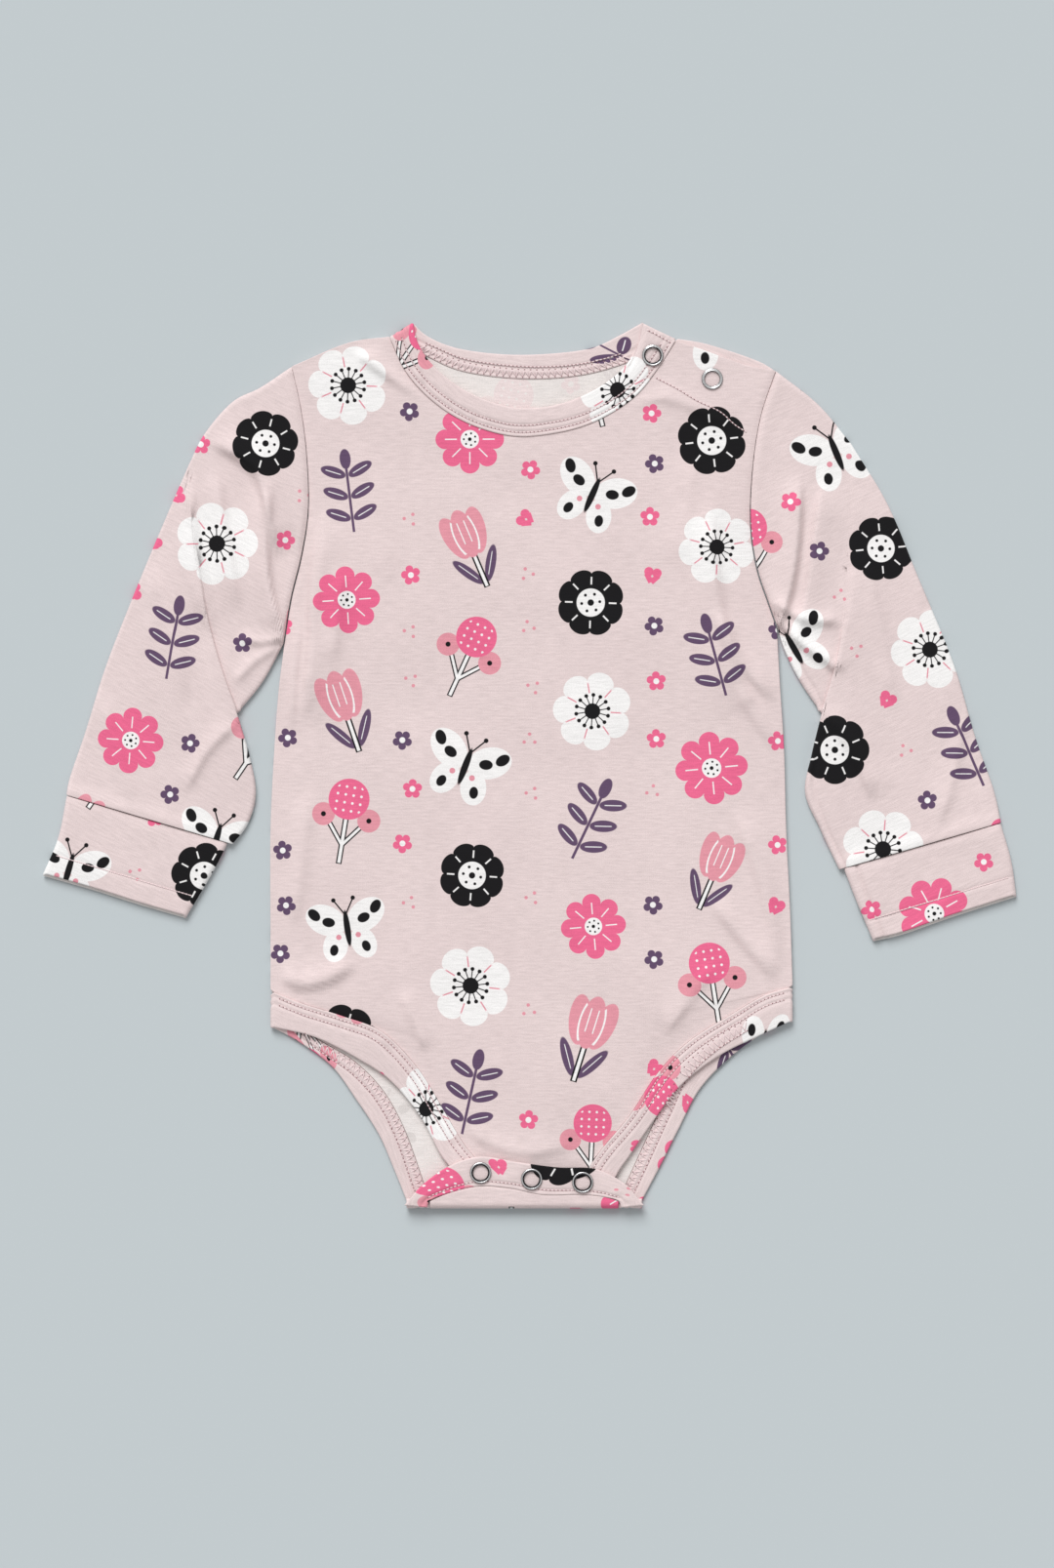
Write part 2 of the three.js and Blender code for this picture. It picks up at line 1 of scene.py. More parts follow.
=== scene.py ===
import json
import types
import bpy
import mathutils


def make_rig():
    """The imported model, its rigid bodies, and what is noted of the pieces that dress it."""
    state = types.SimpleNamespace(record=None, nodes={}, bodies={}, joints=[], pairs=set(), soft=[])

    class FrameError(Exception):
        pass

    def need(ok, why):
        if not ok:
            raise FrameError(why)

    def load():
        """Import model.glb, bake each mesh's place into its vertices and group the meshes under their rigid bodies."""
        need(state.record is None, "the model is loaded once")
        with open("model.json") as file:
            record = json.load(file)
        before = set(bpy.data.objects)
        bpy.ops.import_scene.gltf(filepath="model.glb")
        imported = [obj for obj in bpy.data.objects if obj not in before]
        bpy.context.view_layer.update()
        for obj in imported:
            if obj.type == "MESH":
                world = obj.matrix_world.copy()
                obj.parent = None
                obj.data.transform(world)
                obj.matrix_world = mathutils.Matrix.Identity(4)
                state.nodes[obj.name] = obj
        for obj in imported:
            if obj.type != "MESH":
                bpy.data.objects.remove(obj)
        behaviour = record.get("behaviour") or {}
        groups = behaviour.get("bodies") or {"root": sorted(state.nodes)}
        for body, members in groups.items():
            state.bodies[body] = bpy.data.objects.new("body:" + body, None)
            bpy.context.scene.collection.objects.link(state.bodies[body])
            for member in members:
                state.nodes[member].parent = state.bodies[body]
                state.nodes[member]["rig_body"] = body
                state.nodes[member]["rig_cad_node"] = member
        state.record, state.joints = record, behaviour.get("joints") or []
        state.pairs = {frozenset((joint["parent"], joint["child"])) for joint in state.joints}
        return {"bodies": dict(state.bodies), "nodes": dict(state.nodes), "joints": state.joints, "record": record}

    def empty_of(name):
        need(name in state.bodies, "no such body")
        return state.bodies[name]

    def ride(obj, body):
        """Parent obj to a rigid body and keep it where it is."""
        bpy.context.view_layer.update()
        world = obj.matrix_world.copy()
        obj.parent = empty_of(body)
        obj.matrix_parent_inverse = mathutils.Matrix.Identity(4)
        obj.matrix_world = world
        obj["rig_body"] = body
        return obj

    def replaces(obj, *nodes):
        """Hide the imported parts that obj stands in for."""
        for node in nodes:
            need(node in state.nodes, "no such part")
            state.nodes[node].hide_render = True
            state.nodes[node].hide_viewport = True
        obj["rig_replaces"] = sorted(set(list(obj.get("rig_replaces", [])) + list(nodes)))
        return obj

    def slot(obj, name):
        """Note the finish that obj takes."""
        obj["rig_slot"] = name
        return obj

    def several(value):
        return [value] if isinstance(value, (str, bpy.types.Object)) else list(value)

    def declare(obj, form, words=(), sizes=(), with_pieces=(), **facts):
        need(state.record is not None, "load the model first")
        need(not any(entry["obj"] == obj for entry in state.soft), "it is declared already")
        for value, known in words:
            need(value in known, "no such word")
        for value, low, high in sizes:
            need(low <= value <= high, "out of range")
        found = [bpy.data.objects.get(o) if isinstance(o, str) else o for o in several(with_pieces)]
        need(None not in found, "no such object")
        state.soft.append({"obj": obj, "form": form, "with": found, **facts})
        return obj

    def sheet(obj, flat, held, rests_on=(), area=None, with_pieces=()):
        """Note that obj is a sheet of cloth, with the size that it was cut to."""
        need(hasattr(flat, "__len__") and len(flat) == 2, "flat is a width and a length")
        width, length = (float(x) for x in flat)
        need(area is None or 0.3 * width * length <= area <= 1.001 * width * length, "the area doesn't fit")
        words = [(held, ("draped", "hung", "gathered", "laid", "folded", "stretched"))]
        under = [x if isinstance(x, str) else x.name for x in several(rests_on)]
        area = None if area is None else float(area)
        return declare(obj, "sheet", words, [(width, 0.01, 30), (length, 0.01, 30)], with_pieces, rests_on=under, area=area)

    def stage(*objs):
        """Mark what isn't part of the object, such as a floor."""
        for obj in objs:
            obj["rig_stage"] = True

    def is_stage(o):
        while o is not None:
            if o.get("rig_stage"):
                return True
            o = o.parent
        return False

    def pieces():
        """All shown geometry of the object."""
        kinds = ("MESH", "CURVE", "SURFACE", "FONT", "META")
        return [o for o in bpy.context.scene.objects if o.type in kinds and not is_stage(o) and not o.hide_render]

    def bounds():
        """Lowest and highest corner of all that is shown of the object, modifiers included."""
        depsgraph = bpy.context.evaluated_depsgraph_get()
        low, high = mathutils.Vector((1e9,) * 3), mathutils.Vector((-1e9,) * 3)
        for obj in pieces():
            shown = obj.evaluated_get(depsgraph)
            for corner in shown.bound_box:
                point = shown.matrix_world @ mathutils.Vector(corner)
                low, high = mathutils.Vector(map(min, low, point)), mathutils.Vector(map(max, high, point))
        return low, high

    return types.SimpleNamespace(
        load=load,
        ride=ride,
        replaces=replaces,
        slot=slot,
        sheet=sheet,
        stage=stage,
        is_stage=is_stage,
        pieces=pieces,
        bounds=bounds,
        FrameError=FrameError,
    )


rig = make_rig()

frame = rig.load()
SOLID_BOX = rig.bounds()

import json
import math

import bpy
import numpy as np
from mathutils.bvhtree import BVHTree

# A baby's long-sleeved bodysuit, laid flat on its back and seen from straight above.
# The tables are in millimetres on the floor, x to the right and y towards the neck.

MM = 0.001

# Cloth
JERSEY = 1.2
SLEEVE_JERSEY = 1.0
BINDING = 1.8
CUFF_CLOTH = 1.4
SEAM = 0.06

# Height of each layer's middle above the floor
BACK_Z = 0.6
BACK_BINDING_Z = 0.9
FRONT_Z = 2.1
FRONT_BINDING_Z = 3.1
FLAP_Z = 5.2
SHOULDER_LIFT = 0.6
FRONT_CROWN = 1.4
SLEEVE_BACK_Z = 0.5
SLEEVE_FRONT_Z = 2.1
SLEEVE_CROWN = 0.6
CUFF_BACK_Z = 0.7
CUFF_FRONT_Z = 2.9
EDGE_BEND = 1.8
CROTCH_BOTTOM = -208.6
FLAP_EASE = 0.998

# Elbow folds
ELBOW_STEP = 2.1
ELBOW_REACH = 7
ELBOW_TUCK = 3.2
ELBOW_RUN = 2.4
ELBOW_SLOPE = 6.5
ELBOW_TURN = 0.2
ELBOW_ROWS = 0.3

# How far a cuff's lower layer shows past its upper one
HEM_PEEK = 1.3

# Rows of each outline, which the four-sided patches count in
NECK_ROWS = 20
SHOULDER_ROWS = 4
ARMHOLE_ROWS = 10
SIDE_ROWS = 10
LEG_ROWS = 12
UPPER_ARM_ROWS = 7
FOREARM_ROWS = 11

# Outlines
ARMHOLE_LEFT = [[-112, 188], [-108, 170], [-105, 148], [-104, 120], [-107, 99], [-112, 78], [-115.6, 56]]
ARMHOLE_RIGHT = [[116, 186], [109, 165], [105, 140], [104, 112], [107, 92], [112, 77], [116.6, 64]]
SHOULDER_LEFT = [[-66, 202], [-84, 199.5], [-112, 188]]
SHOULDER_RIGHT = [[69, 200], [81, 196], [104, 188], [116, 186]]
SIDE_LEFT = [[-115.6, 56], [-118, 37], [-120, 11], [-122, -30], [-122, -76], [-122, -106]]
SIDE_RIGHT = [[116.6, 64], [118, 39], [120, 7], [121, -30], [123, -72], [124, -104]]
NECK_FRONT_SEAM = [
    [-66, 202], [-58, 185], [-45, 171], [-29, 161], [-8, 155],
    [10, 156], [29, 161], [49, 173], [60, 186], [69, 200],
]
NECK_FRONT_EDGE = [
    [-55, 208.6], [-52, 198], [-44, 187], [-29, 176], [-10, 169],
    [8, 169], [27, 175], [43, 186], [51, 198], [53, 208.6],
]
NECK_BACK_SEAM = [
    [-66, 202], [-49, 193], [-33, 186], [-2, 182], [26, 184], [47, 190], [59, 195.4],
]
NECK_BACK_END = [69, 201]
NECK_BACK_EDGE = [
    [-55, 208.6], [-49, 203], [-37, 197.5], [-15, 194], [8, 194], [30, 197], [43, 203], [53, 208.6],
]
PLACKET_TOP = [[70, 201], [82, 199], [109, 190], [115, 186.5]]
PLACKET_LOW = [[59, 195.4], [78, 188], [104, 178.5], [111.5, 175.5]]
LEG_SEAM_FRONT_LEFT = [
    [-122, -106], [-107, -112], [-88, -118], [-70, -125], [-53, -142],
    [-40, -163], [-31, -178], [-22, -190], [-18, -203],
]
LEG_EDGE_FRONT_LEFT = [
    [-122, -123], [-101, -128], [-81, -138], [-66, -148],
    [-51, -166], [-42, -183], [-35, -193], [-32, -203],
]
LEG_SEAM_FRONT_RIGHT = [
    [124, -104], [111, -108], [97, -116], [75, -130], [61, -144],
    [47, -165], [33, -182], [28, -190], [25, -203],
]
LEG_EDGE_FRONT_RIGHT = [
    [124, -120], [111, -126], [89, -137], [71, -151],
    [58, -168], [47, -184], [41, -193], [38, -203],
]
LEG_EDGE_BACK_LEFT = [
    [-122, -123], [-109, -130], [-93, -142], [-82, -157], [-71, -174], [-64, -190], [-58, -205],
]
LEG_SEAM_BACK_LEFT = [
    [-122, -106], [-112, -121], [-98, -130], [-83, -139], [-70, -152], [-60, -169], [-47, -205],
]
LEG_EDGE_BACK_RIGHT = [
    [124, -120], [109, -127], [93, -139], [80, -153], [70, -172], [61, -190], [53, -205],
]
LEG_SEAM_BACK_RIGHT = [
    [124, -104], [109, -115], [86, -129], [72, -142], [63, -159], [52, -183], [42, -205],
]
FLAP_SEAM = [
    [-47, -205], [-38, -201.2], [-24, -198], [-9, -199], [6, -202], [26, -202], [36, -203.2], [42, -205],
]
FLAP_EDGE = [
    [-59, -207], [-50, -197], [-37, -188], [-24, -184], [-6, -186.5],
    [13, -189], [32, -190], [45, -197], [54, -207],
]
FLAP_SEAM_ENDS = [[-48.2, -208], [43.2, -208]]

SLEEVES = {
    "left": {
        "outer": [
            [[-112, 188], [-127, 178], [-139, 172], [-153, 156], [-160, 142]],
            [[-160, 142], [-173, 112], [-188, 76], [-200, 45], [-209, 16], [-217, -8], [-218, -14]],
        ],
        "inner": [
            [[-116.3, 57], [-126, 39], [-138, 24]],
            [[-138, 24], [-132, 4], [-129, -14], [-133, -28], [-140, -37]],
        ],
        "cuff_sides": [
            [[-218, -14.2], [-222, -34], [-229.4, -52]],
            [[-142, -36.6], [-149, -50], [-162, -72]],
        ],
        "hem": [[-229.4, -52], [-205, -59], [-183, -66], [-162, -72]],
        "elbow": [
            [-160, 142], [-161.5, 128], [-160.5, 112], [-157.8, 95], [-154, 79], [-149.8, 61], [-145, 44], [-138, 24],
        ],
        "crisp_from": 0.44,
        "seams": [],
        "grain": 25,
    },
    "right": {
        "outer": [
            [[116, 186], [136, 170], [151, 152]],
            [[151, 152], [168, 124], [182, 91], [200, 47], [210, 13], [219, -13], [222, -27]],
        ],
        "inner": [
            [[117.4, 65], [120.6, 54], [128, 39], [138, 24]],
            [[138, 24], [133, 4], [130, -13], [137, -30], [146, -49]],
        ],
        "cuff_sides": [
            [[148, -48.6], [154, -64], [162, -83]],
            [[222, -27.2], [227, -45], [229.4, -62]],
        ],
        "hem": [[162, -83], [175, -80], [198, -72], [229.4, -62]],
        "elbow": [
            [151, 152], [152.5, 130], [152.5, 108], [151, 86], [147.5, 62], [144, 45], [138, 24],
        ],
        "crisp_from": 0.6,
        "seams": [
            [[121, 57], [129.5, 43], [138.5, 29]],
            [[134.5, 2], [134, -10], [139, -27], [149, -48]],
        ],
        "cuff_seam": [[154, -47], [160, -64], [168, -84]],
        "grain": -24,
    },
}

# Creases: a path, its height, and how far it spreads to the left and to the right of the path
FRONT_FOLDS = [
    ([[-84, 198], [-74, 189], [-62, 181], [-47, 173]], 2.8, 6, 2.0),
    ([[40, 169], [63, 173], [78, 168], [97, 157]], 1.4, 6, 2.6),
    ([[-100, 124], [-102.4, 90], [-102.4, 60], [-107, 16]], 3.6, 12, 2.2),
    ([[-108, 74], [-111, 44], [-113, 14]], 2.6, 2.0, 3),
    ([[-88, 96], [-93, 46]], 1.6, 3.2, 4),
    ([[84, 128], [88, 80], [93, 56], [106, 22]], 3.8, 3.2, 12),
    ([[86, 74], [101, 46], [122, 26]], 3.2, 6, 2.0),
    ([[97, 38], [107, 21], [119, 6]], 1.9, 6, 2.0),
    ([[-122, -96], [-108, -103], [-96, -101], [-80, -92]], 3.0, 6, 1.9),
    ([[96, -18], [110, -58], [120, -98]], 2.4, 9, 2.4),
    ([[84, -62], [102, -84], [118, -102]], 2.3, 7, 2.0),
    ([[-61, -104], [-48, -136]], 1.7, 4, 2.6),
    ([[-103, -10], [-111, -76]], 1.6, 3.4, 6),
    ([[88, -92], [63, -127]], 1.7, 2.6, 7),
    ([[-84, 158], [-70, 118], [-65, 80]], 1.2, 4.5, 9),
    ([[78, 150], [70, 92]], 1.1, 4.5, 8),
    ([[-36, -170], [-4, -182], [22, -178]], 1.3, 6, 2.8),
    ([[-60, 30], [-38, -40]], 0.8, 6, 10),
    ([[34, 80], [52, 10]], 0.8, 6, 11),
]
BACK_FOLDS = [
    ([[-96, 120], [-70, 60], [-64, 10]], 0.5, 12, 8),
    ([[80, 60], [90, 0], [84, -60]], 0.5, 9, 14),
    ([[-40, -60], [-20, -120]], 0.4, 10, 10),
]
SLEEVE_FOLDS = {
    "left": [
        ([[-154, 154], [-136, 145], [-128, 137], [-123.5, 124], [-119, 96]], 4.2, 9, 2.0),
        ([[-122, 136], [-124, 106], [-122.5, 84], [-114, 54]], 3.8, 2.0, 7),
        ([[-160, 138], [-159, 114], [-156.5, 94], [-149, 62]], 2.9, 2.2, 8),
        ([[-148, 142], [-143, 106], [-136, 70]], 2.2, 2.6, 7),
        ([[-139, 60], [-126, 58], [-113, 61]], 1.8, 3.5, 1.8),
        ([[-140, 38], [-128, 50], [-117, 56]], 1.5, 3, 1.9),
        ([[-136, 22], [-152, 6], [-163, -14]], 1.9, 2.2, 5),
        ([[-179, 98], [-166, 60], [-160, 28]], 1.6, 3.2, 7),
        ([[-203, 38], [-192, 2], [-183, -30]], 1.5, 3, 5),
    ],
    "right": [
        ([[127, 140], [126, 108], [122.5, 84], [114, 56]], 4.0, 2.0, 8),
        ([[139, 138], [134, 104], [131, 82], [124, 54]], 2.8, 9, 2.4),
        ([[110, 76], [116, 67], [123, 58]], -2.2, 2.4, 2.4),
        ([[114, 71], [130, 56], [150, 44]], 3.4, 4, 1.8),
        ([[113, 78], [129, 69], [149, 68]], 2.4, 4, 2.0),
        ([[137, 28], [151, 9], [163, -18]], 2.3, 6, 2.4),
        ([[156, 106], [166, 60], [172, 24]], 1.6, 3.6, 8),
        ([[206, 30], [198, -10], [189, -40]], 1.5, 3, 5),
    ],
}

# The crease where the neckband's end crosses the back neck
NECK_FOLDS = [([[54.5, 213], [51.8, 200], [46, 184]], -1.3, 1.0, 1.0)]

# Ring snaps: a place, and the height of the cloth under them
SNAP_RADIUS = 5.0
SNAP_HOLE = 3.5
SNAP_HEIGHT = 1.1
SNAPS = {
    "shoulder_snap_1": (58, 193, FRONT_BINDING_Z + BINDING / 2),
    "shoulder_snap_2": (86, 182, FRONT_Z + SHOULDER_LIFT + JERSEY / 2),
    "crotch_snap_1": (-23, -191.5, FLAP_Z + BINDING / 2),
    "crotch_snap_2": (1, -194.5, FLAP_Z + BINDING / 2),
    "crotch_snap_3": (25, -196, FLAP_Z + BINDING / 2),
}

# How wide the band of painted highlight on each snap ring is, and where it isn't the usual width
HIGHLIGHT_BAND = 0.6
HIGHLIGHT_BANDS = {"shoulder_snap_1": 0.8, "shoulder_snap_2": 1.15}

# Stitching
STITCH = 1.35
STITCH_GAP = 0.5
THREAD = 0.3
HOLE = 0.6
BINDING_ROWS = [2.0, 5.2]
NECK_END_LINE = [[66.6, 198.8], [60, 202.6], [54, 205.6]]
HEM_LINE = [[59.6, 182.4], [70.1, 176.9], [78.4, 171.8], [89.9, 166.3], [96.8, 160.3], [103.3, 156.2]]

# Flat cuts in metres
FLAT = {
    "back_cloth": (0.246, 0.432, 0.0838),
    "front_cloth": (0.246, 0.405, 0.0762),
    "sleeve_cloth_left": (0.22, 0.235, 0.0281),
    "sleeve_cloth_right": (0.22, 0.235, 0.0295),
    "cuff_cloth_left": (0.146, 0.0402, None),
    "cuff_cloth_right": (0.148, 0.0364, None),
    "neckband_cloth": (0.29, 0.0124, None),
    "placket_cloth": (0.052, 0.0114, None),
    "leg_binding_cloth_left": (0.257, 0.0119, None),
    "leg_binding_cloth_right": (0.259, 0.0124, None),
    "crotch_binding_cloth": (0.109, 0.0116, None),
}

# Colours as they look in daylight, red, green and blue from 0 to 255
GROUND = (229, 211, 210)
INSIDE = (234, 227, 224)
HOT_PINK = (237, 108, 147)
SALMON = (229, 153, 166)
PURPLE = (100, 78, 106)
BLACK = (24, 23, 25)
WHITE = (246, 244, 243)
FLOOR = (195, 203, 206)
PALE_THREAD = (238, 218, 219)
# Colour of the short dark pieces at each needle hole: painted shade.
PAINTED_HOLE_SHADE = (168, 132, 136)

# The print: a half-drop layout of cells, with small motifs between the large ones
CELL_WIDE = 46.0
CELL_HIGH = 41.0
PRINT_SCALE = 1.25
MOTIFS = 7
INK_EDGE = 0.2

# Camera and light
VIEW_CENTRE = (-1.15, -8.74)
VIEW_HIGH = 739.2
CAMERA_HEIGHT = 2500
SENSOR = 36
SUN_STRENGTH = 2.42
SUN_ANGLE = 34
SUN_TURN = (-48, 0, 16)
SKY_STRENGTH = 0.485


def linear(colour):
    """A colour in light units, from its daylight numbers."""
    share = np.array(colour) / 255
    low = share / 12.92
    high = ((share + 0.055) / 1.055) ** 2.4
    return (*np.where(share <= 0.04045, low, high).tolist(), 1.0)


def smooth(t):
    t = np.clip(t, 0, 1)
    return t * t * (3 - 2 * t)


# Outlines and patches


def curve(outline, steps=240):
    """Evenly spaced points on the smooth curve through an outline's rows."""
    points = np.array(outline, float)
    knots = np.vstack([2 * points[0] - points[1], points, 2 * points[-1] - points[-2]])
    t = np.linspace(0, 1, 32, endpoint=False)[:, None]
    fine = []
    for a, b, c, d in zip(knots, knots[1:], knots[2:], knots[3:]):
        before, here, after = (np.linalg.norm(q - p) ** 0.5 for p, q in ((a, b), (b, c), (c, d)))
        leave = ((b - a) / before - (c - a) / (before + here) + (c - b) / here) * here
        arrive = ((c - b) / here - (d - b) / (here + after) + (d - c) / after) * here
        fine.append(
            (2 * t**3 - 3 * t**2 + 1) * b
            + (t**3 - 2 * t**2 + t) * leave
            + (3 * t**2 - 2 * t**3) * c
            + (t**3 - t**2) * arrive
        )
    fine = np.vstack([*fine, points[-1:]])
    reach = np.concatenate([[0], np.cumsum(np.linalg.norm(np.diff(fine, axis=0), axis=1))])
    places = np.linspace(0, reach[-1], steps + 1)
    return np.stack([np.interp(places, reach, fine[:, k]) for k in (0, 1)], axis=-1)


def edge(*sections):
    """The point at a place along outlines laid end to end, each counted in its own rows."""
    places = []
    points = []
    start = 0
    for outline, rows in sections:
        line = curve(outline)
        places.append(start + np.linspace(0, rows, len(line)))
        points.append(line)
        start += rows
    places = np.concatenate(places)
    points = np.concatenate(points)
    return lambda place: np.stack([np.interp(place, places, points[:, k]) for k in (0, 1)], axis=-1)


def straight(a, b):
    a = np.array(a, float)
    b = np.array(b, float)
    return lambda place: a + (b - a) * np.asarray(place)[..., None]


def length_of(outline):
    return float(np.linalg.norm(np.diff(curve(outline), axis=0), axis=1).sum())


def patch(left, right, top, bottom, rows, across, down):
    """A grid between four edges: left and right run down it, top and bottom run across it."""
    u = across[None, :, None]
    v = (down / rows)[:, None, None]
    sides = left(down)[:, None] * (1 - u) + right(down)[:, None] * u
    ends = top(across)[None] * (1 - v) + bottom(across)[None] * v
    corners = (top(0.0) * (1 - u) + top(1.0) * u) * (1 - v) + (bottom(0.0) * (1 - u) + bottom(1.0) * u) * v
    return sides + ends - corners


def spread(length, step, ends=True):
    """Places from 0 to 1 along a length, closer together at its two ends."""
    rim = np.array([0, 0.12, 0.32, 0.6, 1.0, 1.5]) / length if ends else np.array([0])
    inner = np.linspace(rim[-1], 1 - rim[-1], max(2, int(length / step)))
    return np.concatenate([rim[:-1], inner, 1 - rim[:-1][::-1]])


def from_edges(grid, sides=True):
    """How far each point of a grid is from the grid's rim."""
    def along(points):
        steps = np.linalg.norm(np.diff(points, axis=0), axis=-1)
        reach = np.concatenate([np.zeros((1, steps.shape[1])), np.cumsum(steps, axis=0)])
        return np.minimum(reach, reach[-1] - reach)

    down = along(grid)
    if not sides:
        return down
    return np.minimum(down, along(grid.swapaxes(0, 1)).T)


def rounded(distance, thickness, depth=0.92):
    """Half the cloth's thickness, which falls by a share of itself at a rim."""
    half = thickness / 2
    inside = np.clip(distance / half, 0, 1)
    return half * (1 - depth * (1 - np.sqrt(1 - (1 - inside) ** 2)))


def two_rims(grid, thickness, at_ends, at_sides):
    """Half a cloth's thickness, which falls by one share at its first and last rows and by another at its sides."""
    ends = from_edges(grid, False)
    sides = from_edges(grid.swapaxes(0, 1), False).T
    return np.minimum(rounded(ends, thickness, at_ends), rounded(sides, thickness, at_sides))


def beside(plan, outline, width):
    """1 on a line, falling smoothly to 0 about twice a width away from it."""
    line = curve(outline)
    nearest = min_distance(plan, line)
    return np.exp(-((nearest / width) ** 2))


def off_line(plan, a, b):
    """How far points are from the straight line through a and b."""
    way = (b - a) / np.linalg.norm(b - a)
    return abs((plan[..., 0] - a[0]) * way[1] - (plan[..., 1] - a[1]) * way[0])


def min_distance(plan, line):
    flat = plan[..., :2].reshape(-1, 1, 2)
    parts = [np.linalg.norm(part - line, axis=-1).min(axis=-1) for part in np.array_split(flat, 8)]
    return np.concatenate(parts).reshape(plan.shape[:2])


def ripple(plan, size, seed):
    """Soft unevenness from -1 to 1, in swells of about one size."""
    count = 97
    heights = np.random.default_rng(seed).uniform(-1, 1, (count, count))
    place = plan[..., :2] / size + count / 2
    cell = np.clip(np.floor(place).astype(int), 0, count - 2)
    part = smooth(place - cell)
    i, j = cell[..., 0], cell[..., 1]
    a, b = part[..., 0], part[..., 1]
    low = heights[i, j] * (1 - a) + heights[i + 1, j] * a
    high = heights[i, j + 1] * (1 - a) + heights[i + 1, j + 1] * a
    return low * (1 - b) + high * b


def creased(plan, folds):
    """Height that creases add, each with a steep and a gentle side."""
    total = np.zeros(plan.shape[:2])
    for path, height, left, right in folds:
        line = curve(path, 60) if len(path) > 2 else straight(*path)(np.linspace(0, 1, 61))
        way = np.gradient(line, axis=0)
        away = np.linalg.norm(plan[:, :, None, :2] - line, axis=-1)
        nearest = away.argmin(axis=-1)
        off = plan[..., :2] - line[nearest]
        turned = way[nearest, 0] * off[..., 1] - way[nearest, 1] * off[..., 0]
        width = np.where(turned > 0, left, right)
        part = nearest / 60
        taper = smooth(part / 0.24) * smooth((1 - part) / 0.24)
        total += height * taper * np.exp(-((away.min(axis=-1) / width) ** 1.5))
    return total


# Meshes


def lifted(plan, z):
    return np.concatenate([plan, np.broadcast_to(z, plan.shape[:2])[..., None]], axis=-1)


def normals(grid, ring=False):
    along = np.gradient(grid, axis=0)
    if ring:
        across = np.roll(grid, -1, axis=1) - np.roll(grid, 1, axis=1)
    else:
        across = np.gradient(grid, axis=1)
    normal = np.cross(along, across)
    return normal / np.maximum(np.linalg.norm(normal, axis=-1, keepdims=True), 1e-9)


def make(name, points, faces, looks, look_of_face, print_of_corner=None):
    """A smooth mesh from points in millimetres and faces with four corners."""
    mesh = bpy.data.meshes.new(name)
    mesh.vertices.add(len(points))
    mesh.vertices.foreach_set("co", (points * MM).astype(np.float32).ravel())
    mesh.loops.add(faces.size)
    mesh.loops.foreach_set("vertex_index", faces.astype(np.int32).ravel())
    mesh.polygons.add(len(faces))
    mesh.polygons.foreach_set("loop_start", np.arange(0, faces.size, 4, dtype=np.int32))
    mesh.polygons.foreach_set("material_index", look_of_face.astype(np.int32))
    mesh.polygons.foreach_set("use_smooth", np.ones(len(faces), bool))
    if print_of_corner is not None:
        layer = mesh.uv_layers.new(name="print")
        layer.data.foreach_set("uv", print_of_corner.astype(np.float32).ravel())
    for look in looks:
        mesh.materials.append(look)
    mesh.update(calc_edges=True)
    mesh.validate()
    piece = bpy.data.objects.new(name, mesh)
    bpy.context.scene.collection.objects.link(piece)
    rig.ride(piece, "root")
    return piece


def quads(a, b, c, d):
    return np.stack([a, b, c, d], axis=-1).reshape(-1, 4)


def cloth(name, node, grid, half, prints, looks, ring=False, under_from=None):
    """A closed thin shell round a middle surface. prints holds each point's place on the printed
    cloth, and for a ring a second one for the columns from under_from on. looks are the two faces'."""
    rows, cols = grid.shape[:2]
    normal = normals(grid, ring)
    half = np.broadcast_to(half, (rows, cols))[..., None]
    points = np.concatenate([(grid + normal * half).reshape(-1, 3), (grid - normal * half).reshape(-1, 3)])
    points[:, 2] = np.maximum(points[:, 2], 0)
    upper = np.arange(rows * cols).reshape(rows, cols)
    if ring:
        upper = np.concatenate([upper, upper[:, :1]], axis=1)
    lower = upper + rows * cols
    outside = quads(upper[:-1, :-1], upper[1:, :-1], upper[1:, 1:], upper[:-1, 1:])
    inside = quads(lower[:-1, :-1], lower[:-1, 1:], lower[1:, 1:], lower[1:, :-1])
    rims = [
        quads(upper[0, :-1], upper[0, 1:], lower[0, 1:], lower[0, :-1]),
        quads(upper[-1, :-1], lower[-1, :-1], lower[-1, 1:], upper[-1, 1:]),
    ]
    if not ring:
        rims += [
            quads(upper[:-1, 0], lower[:-1, 0], lower[1:, 0], upper[1:, 0]),
            quads(upper[:-1, -1], upper[1:, -1], lower[1:, -1], lower[:-1, -1]),
        ]
    faces = np.concatenate([outside, inside, *rims])
    look_of_face = np.zeros(len(faces))
    look_of_face[len(outside):len(outside) + len(inside)] = 1
    places = np.concatenate([prints[0].reshape(-1, 2)] * 2)[faces]
    if under_from is not None:
        under = np.concatenate([prints[1].reshape(-1, 2)] * 2)[faces]
        column = np.arange(upper.shape[1] - 1)
        in_sheet = np.tile(column, rows - 1)
        of_face = np.concatenate([in_sheet, in_sheet, column, column])
        places = np.where((of_face >= under_from)[:, None, None], under, places)
    piece = make(name, points, faces, looks, look_of_face, places)
    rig.replaces(piece, node)
    return piece


def turned(plan, degrees, shift=(0, 0)):
    """Places on the printed cloth, for a piece cut at an angle to it."""
    angle = math.radians(degrees)
    x = plan[..., 0] * math.cos(angle) - plan[..., 1] * math.sin(angle) + shift[0]
    y = plan[..., 0] * math.sin(angle) + plan[..., 1] * math.cos(angle) + shift[1]
    return np.stack([x, y], axis=-1)


def drawn_in(grid, sides=True):
    """A grid with its rim a hair inside the seam."""
    grid = grid.copy()

    def step(rim, next_to):
        way = next_to - rim
        return rim + way / np.maximum(np.linalg.norm(way, axis=-1, keepdims=True), 1e-9) * SEAM

    first, last = step(grid[0], grid[1]), step(grid[-1], grid[-2])
    if sides:
        left, right = step(grid[:, 0], grid[:, 1]), step(grid[:, -1], grid[:, -2])
        grid[:, 0], grid[:, -1] = left, right
    grid[0], grid[-1] = first, last
    return grid


# The front and the back


